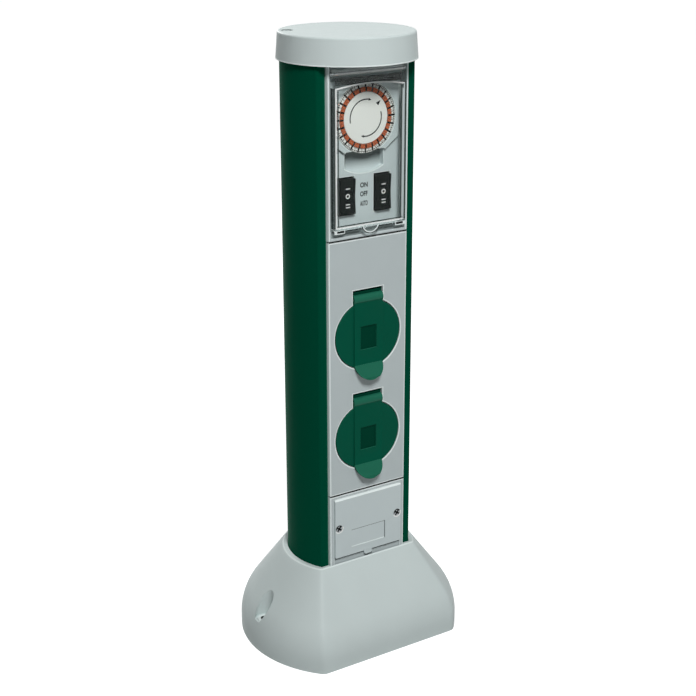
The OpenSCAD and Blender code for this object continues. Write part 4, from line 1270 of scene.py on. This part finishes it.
# %% Print on the dial ring
HOURS, NUMBER_H, NUMBER_IN = 24, 1.5, 2.1
BAR_W, BAR_L, BAR_IN = 1.3, 3.0, 1.6
TICK_W, TICK_L, TICK_IN = 0.45, 1.2, 0.8
LINE_IN, LINE_OUT = 1.0, 0.7
ring_d, ring_r = front_of("dial_ring"), right_of("dial_ring")
trip_d, trip_r = front_of("trip_segments"), right_of("trip_segments")
trip_w = trip_r - right_of("dial_disc") - 0.4


def on_ring(d, hour, radius):
    """A place on the dial by its depth, its hour and its radius in millimetres."""
    turn = Matrix.Rotation(math.tau * hour / HOURS, 4, "Y")
    return Matrix.Translation(at(0, d, dial_z)) @ turn @ Matrix.Translation((0, 0, radius * MM))


dial_bm = bmesh.new()
for hour in range(HOURS):
    add_mark(dial_bm, BAR_W, BAR_L, on_ring(ring_d, hour, ring_r - BAR_IN))
    for quarter in (0.25, 0.5, 0.75):
        add_mark(dial_bm, TICK_W, TICK_L, on_ring(ring_d, hour + quarter, ring_r - TICK_IN))
    add_mark(dial_bm, BAR_W, trip_w, on_ring(trip_d, hour, trip_r - trip_w / 2))
    add_words(dial_bm, str(HOURS - hour), NUMBER_H, on_ring(ring_d, hour + 0.5, ring_r - NUMBER_IN))
# A dark ring just inside the ring's edge is painted shade of the gap round the dial ring.
add_arc(dial_bm, (0, ring_d, dial_z), (ring_r - LINE_IN, ring_r - LINE_OUT))
finish_piece("dial_print", dial_bm, "black_print", "dial")

# %% [markdown]
# The white disc in the middle stands still. Two arrows on it show which way the ring may be turned, and a
# dark triangle marks the time. An arrow is an arc with a triangle at its end.

# %% Print on the disc
ARROW_R, ARROW_W, HEAD_L, HEAD_W = 12.5, 0.8, 2.4, 1.9
ARROWS = ((192, 80), (15, -97))
POINTER_AT, POINTER_R, POINTER_L, POINTER_W = 42.8, 14.2, 3.6, 3.1
disc_d = front_of("dial_disc")


def add_triangle(bm, *corners):
    """Adds a printed triangle; a corner has its angle anticlockwise from the right and its radius."""
    spots = []
    for angle, radius in corners:
        turn = math.radians(angle)
        spots.append(at(radius * math.cos(turn), disc_d, dial_z + radius * math.sin(turn)))
    face = bm.faces.new([bm.verts.new(spot) for spot in spots])
    face_front([face])
    bmesh.ops.translate(bm, verts=face.verts, vec=(0, -INK_T / 2 * MM, 0))
    bmesh.ops.solidify(bm, geom=[face], thickness=INK_T * MM)


disc_bm = bmesh.new()
arrow_radii = (ARROW_R - ARROW_W / 2, ARROW_R + ARROW_W / 2)
for start, end in ARROWS:
    add_arc(disc_bm, (0, disc_d, dial_z), arrow_radii, start, start - end)
    tip = end - math.degrees(HEAD_L / ARROW_R), ARROW_R
    add_triangle(disc_bm, (end, ARROW_R - HEAD_W / 2), (end, ARROW_R + HEAD_W / 2), tip)
wide = math.degrees(POINTER_W / 2 / POINTER_R)
low, high = POINTER_R - POINTER_L / 2, POINTER_R + POINTER_L / 2
add_triangle(disc_bm, (POINTER_AT - wide, low), (POINTER_AT + wide, low), (POINTER_AT, high))
finish_piece("disc_print", disc_bm, "black_print")

# %% [markdown]
# The rockers have three places: I, O and II, moulded lying down in white. A rocker's face is bent, so each
# half leans a little, and the marks lean with it and ride on the rocker.

# %% Marks on the rockers
BEND, BEND_END = 0.8, 0.4
BAR_ROWS = ((347.1, (0.0,)), (335.2, (-1.0, 1.0)))
BAR_SIZE, RING_Z, RING_RADII, RING_PROUD = (3.4, 0.65), 341.9, (1.0, 1.7), 0.2


def rocker_face(node, z):
    """Where a rocker's face is at a height: its depth, and how far it leans."""
    low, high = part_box(node)
    slope = BEND / ((high.z - low.z) / 2 / MM - BEND_END)
    up = z - middle(node).z / MM
    return front_of(node) - BEND + abs(up) * slope, math.atan(slope) * (1 if up > 0 else -1)


for node in ROCKERS:
    bm = bmesh.new()
    x = middle(node).x / MM
    for z, rows in BAR_ROWS:
        d, lean = rocker_face(node, z)
        base = Matrix.Translation(at(x, d, z)) @ Matrix.Rotation(lean, 4, "X")
        for row in rows:
            add_mark(bm, *BAR_SIZE, base @ Matrix.Translation((0, 0, row * MM)))
    add_arc(bm, (x, rocker_face(node, RING_Z)[0] + RING_PROUD, RING_Z), RING_RADII)
    finish_piece(node + "_marks", bm, "white_print", body_of[node])
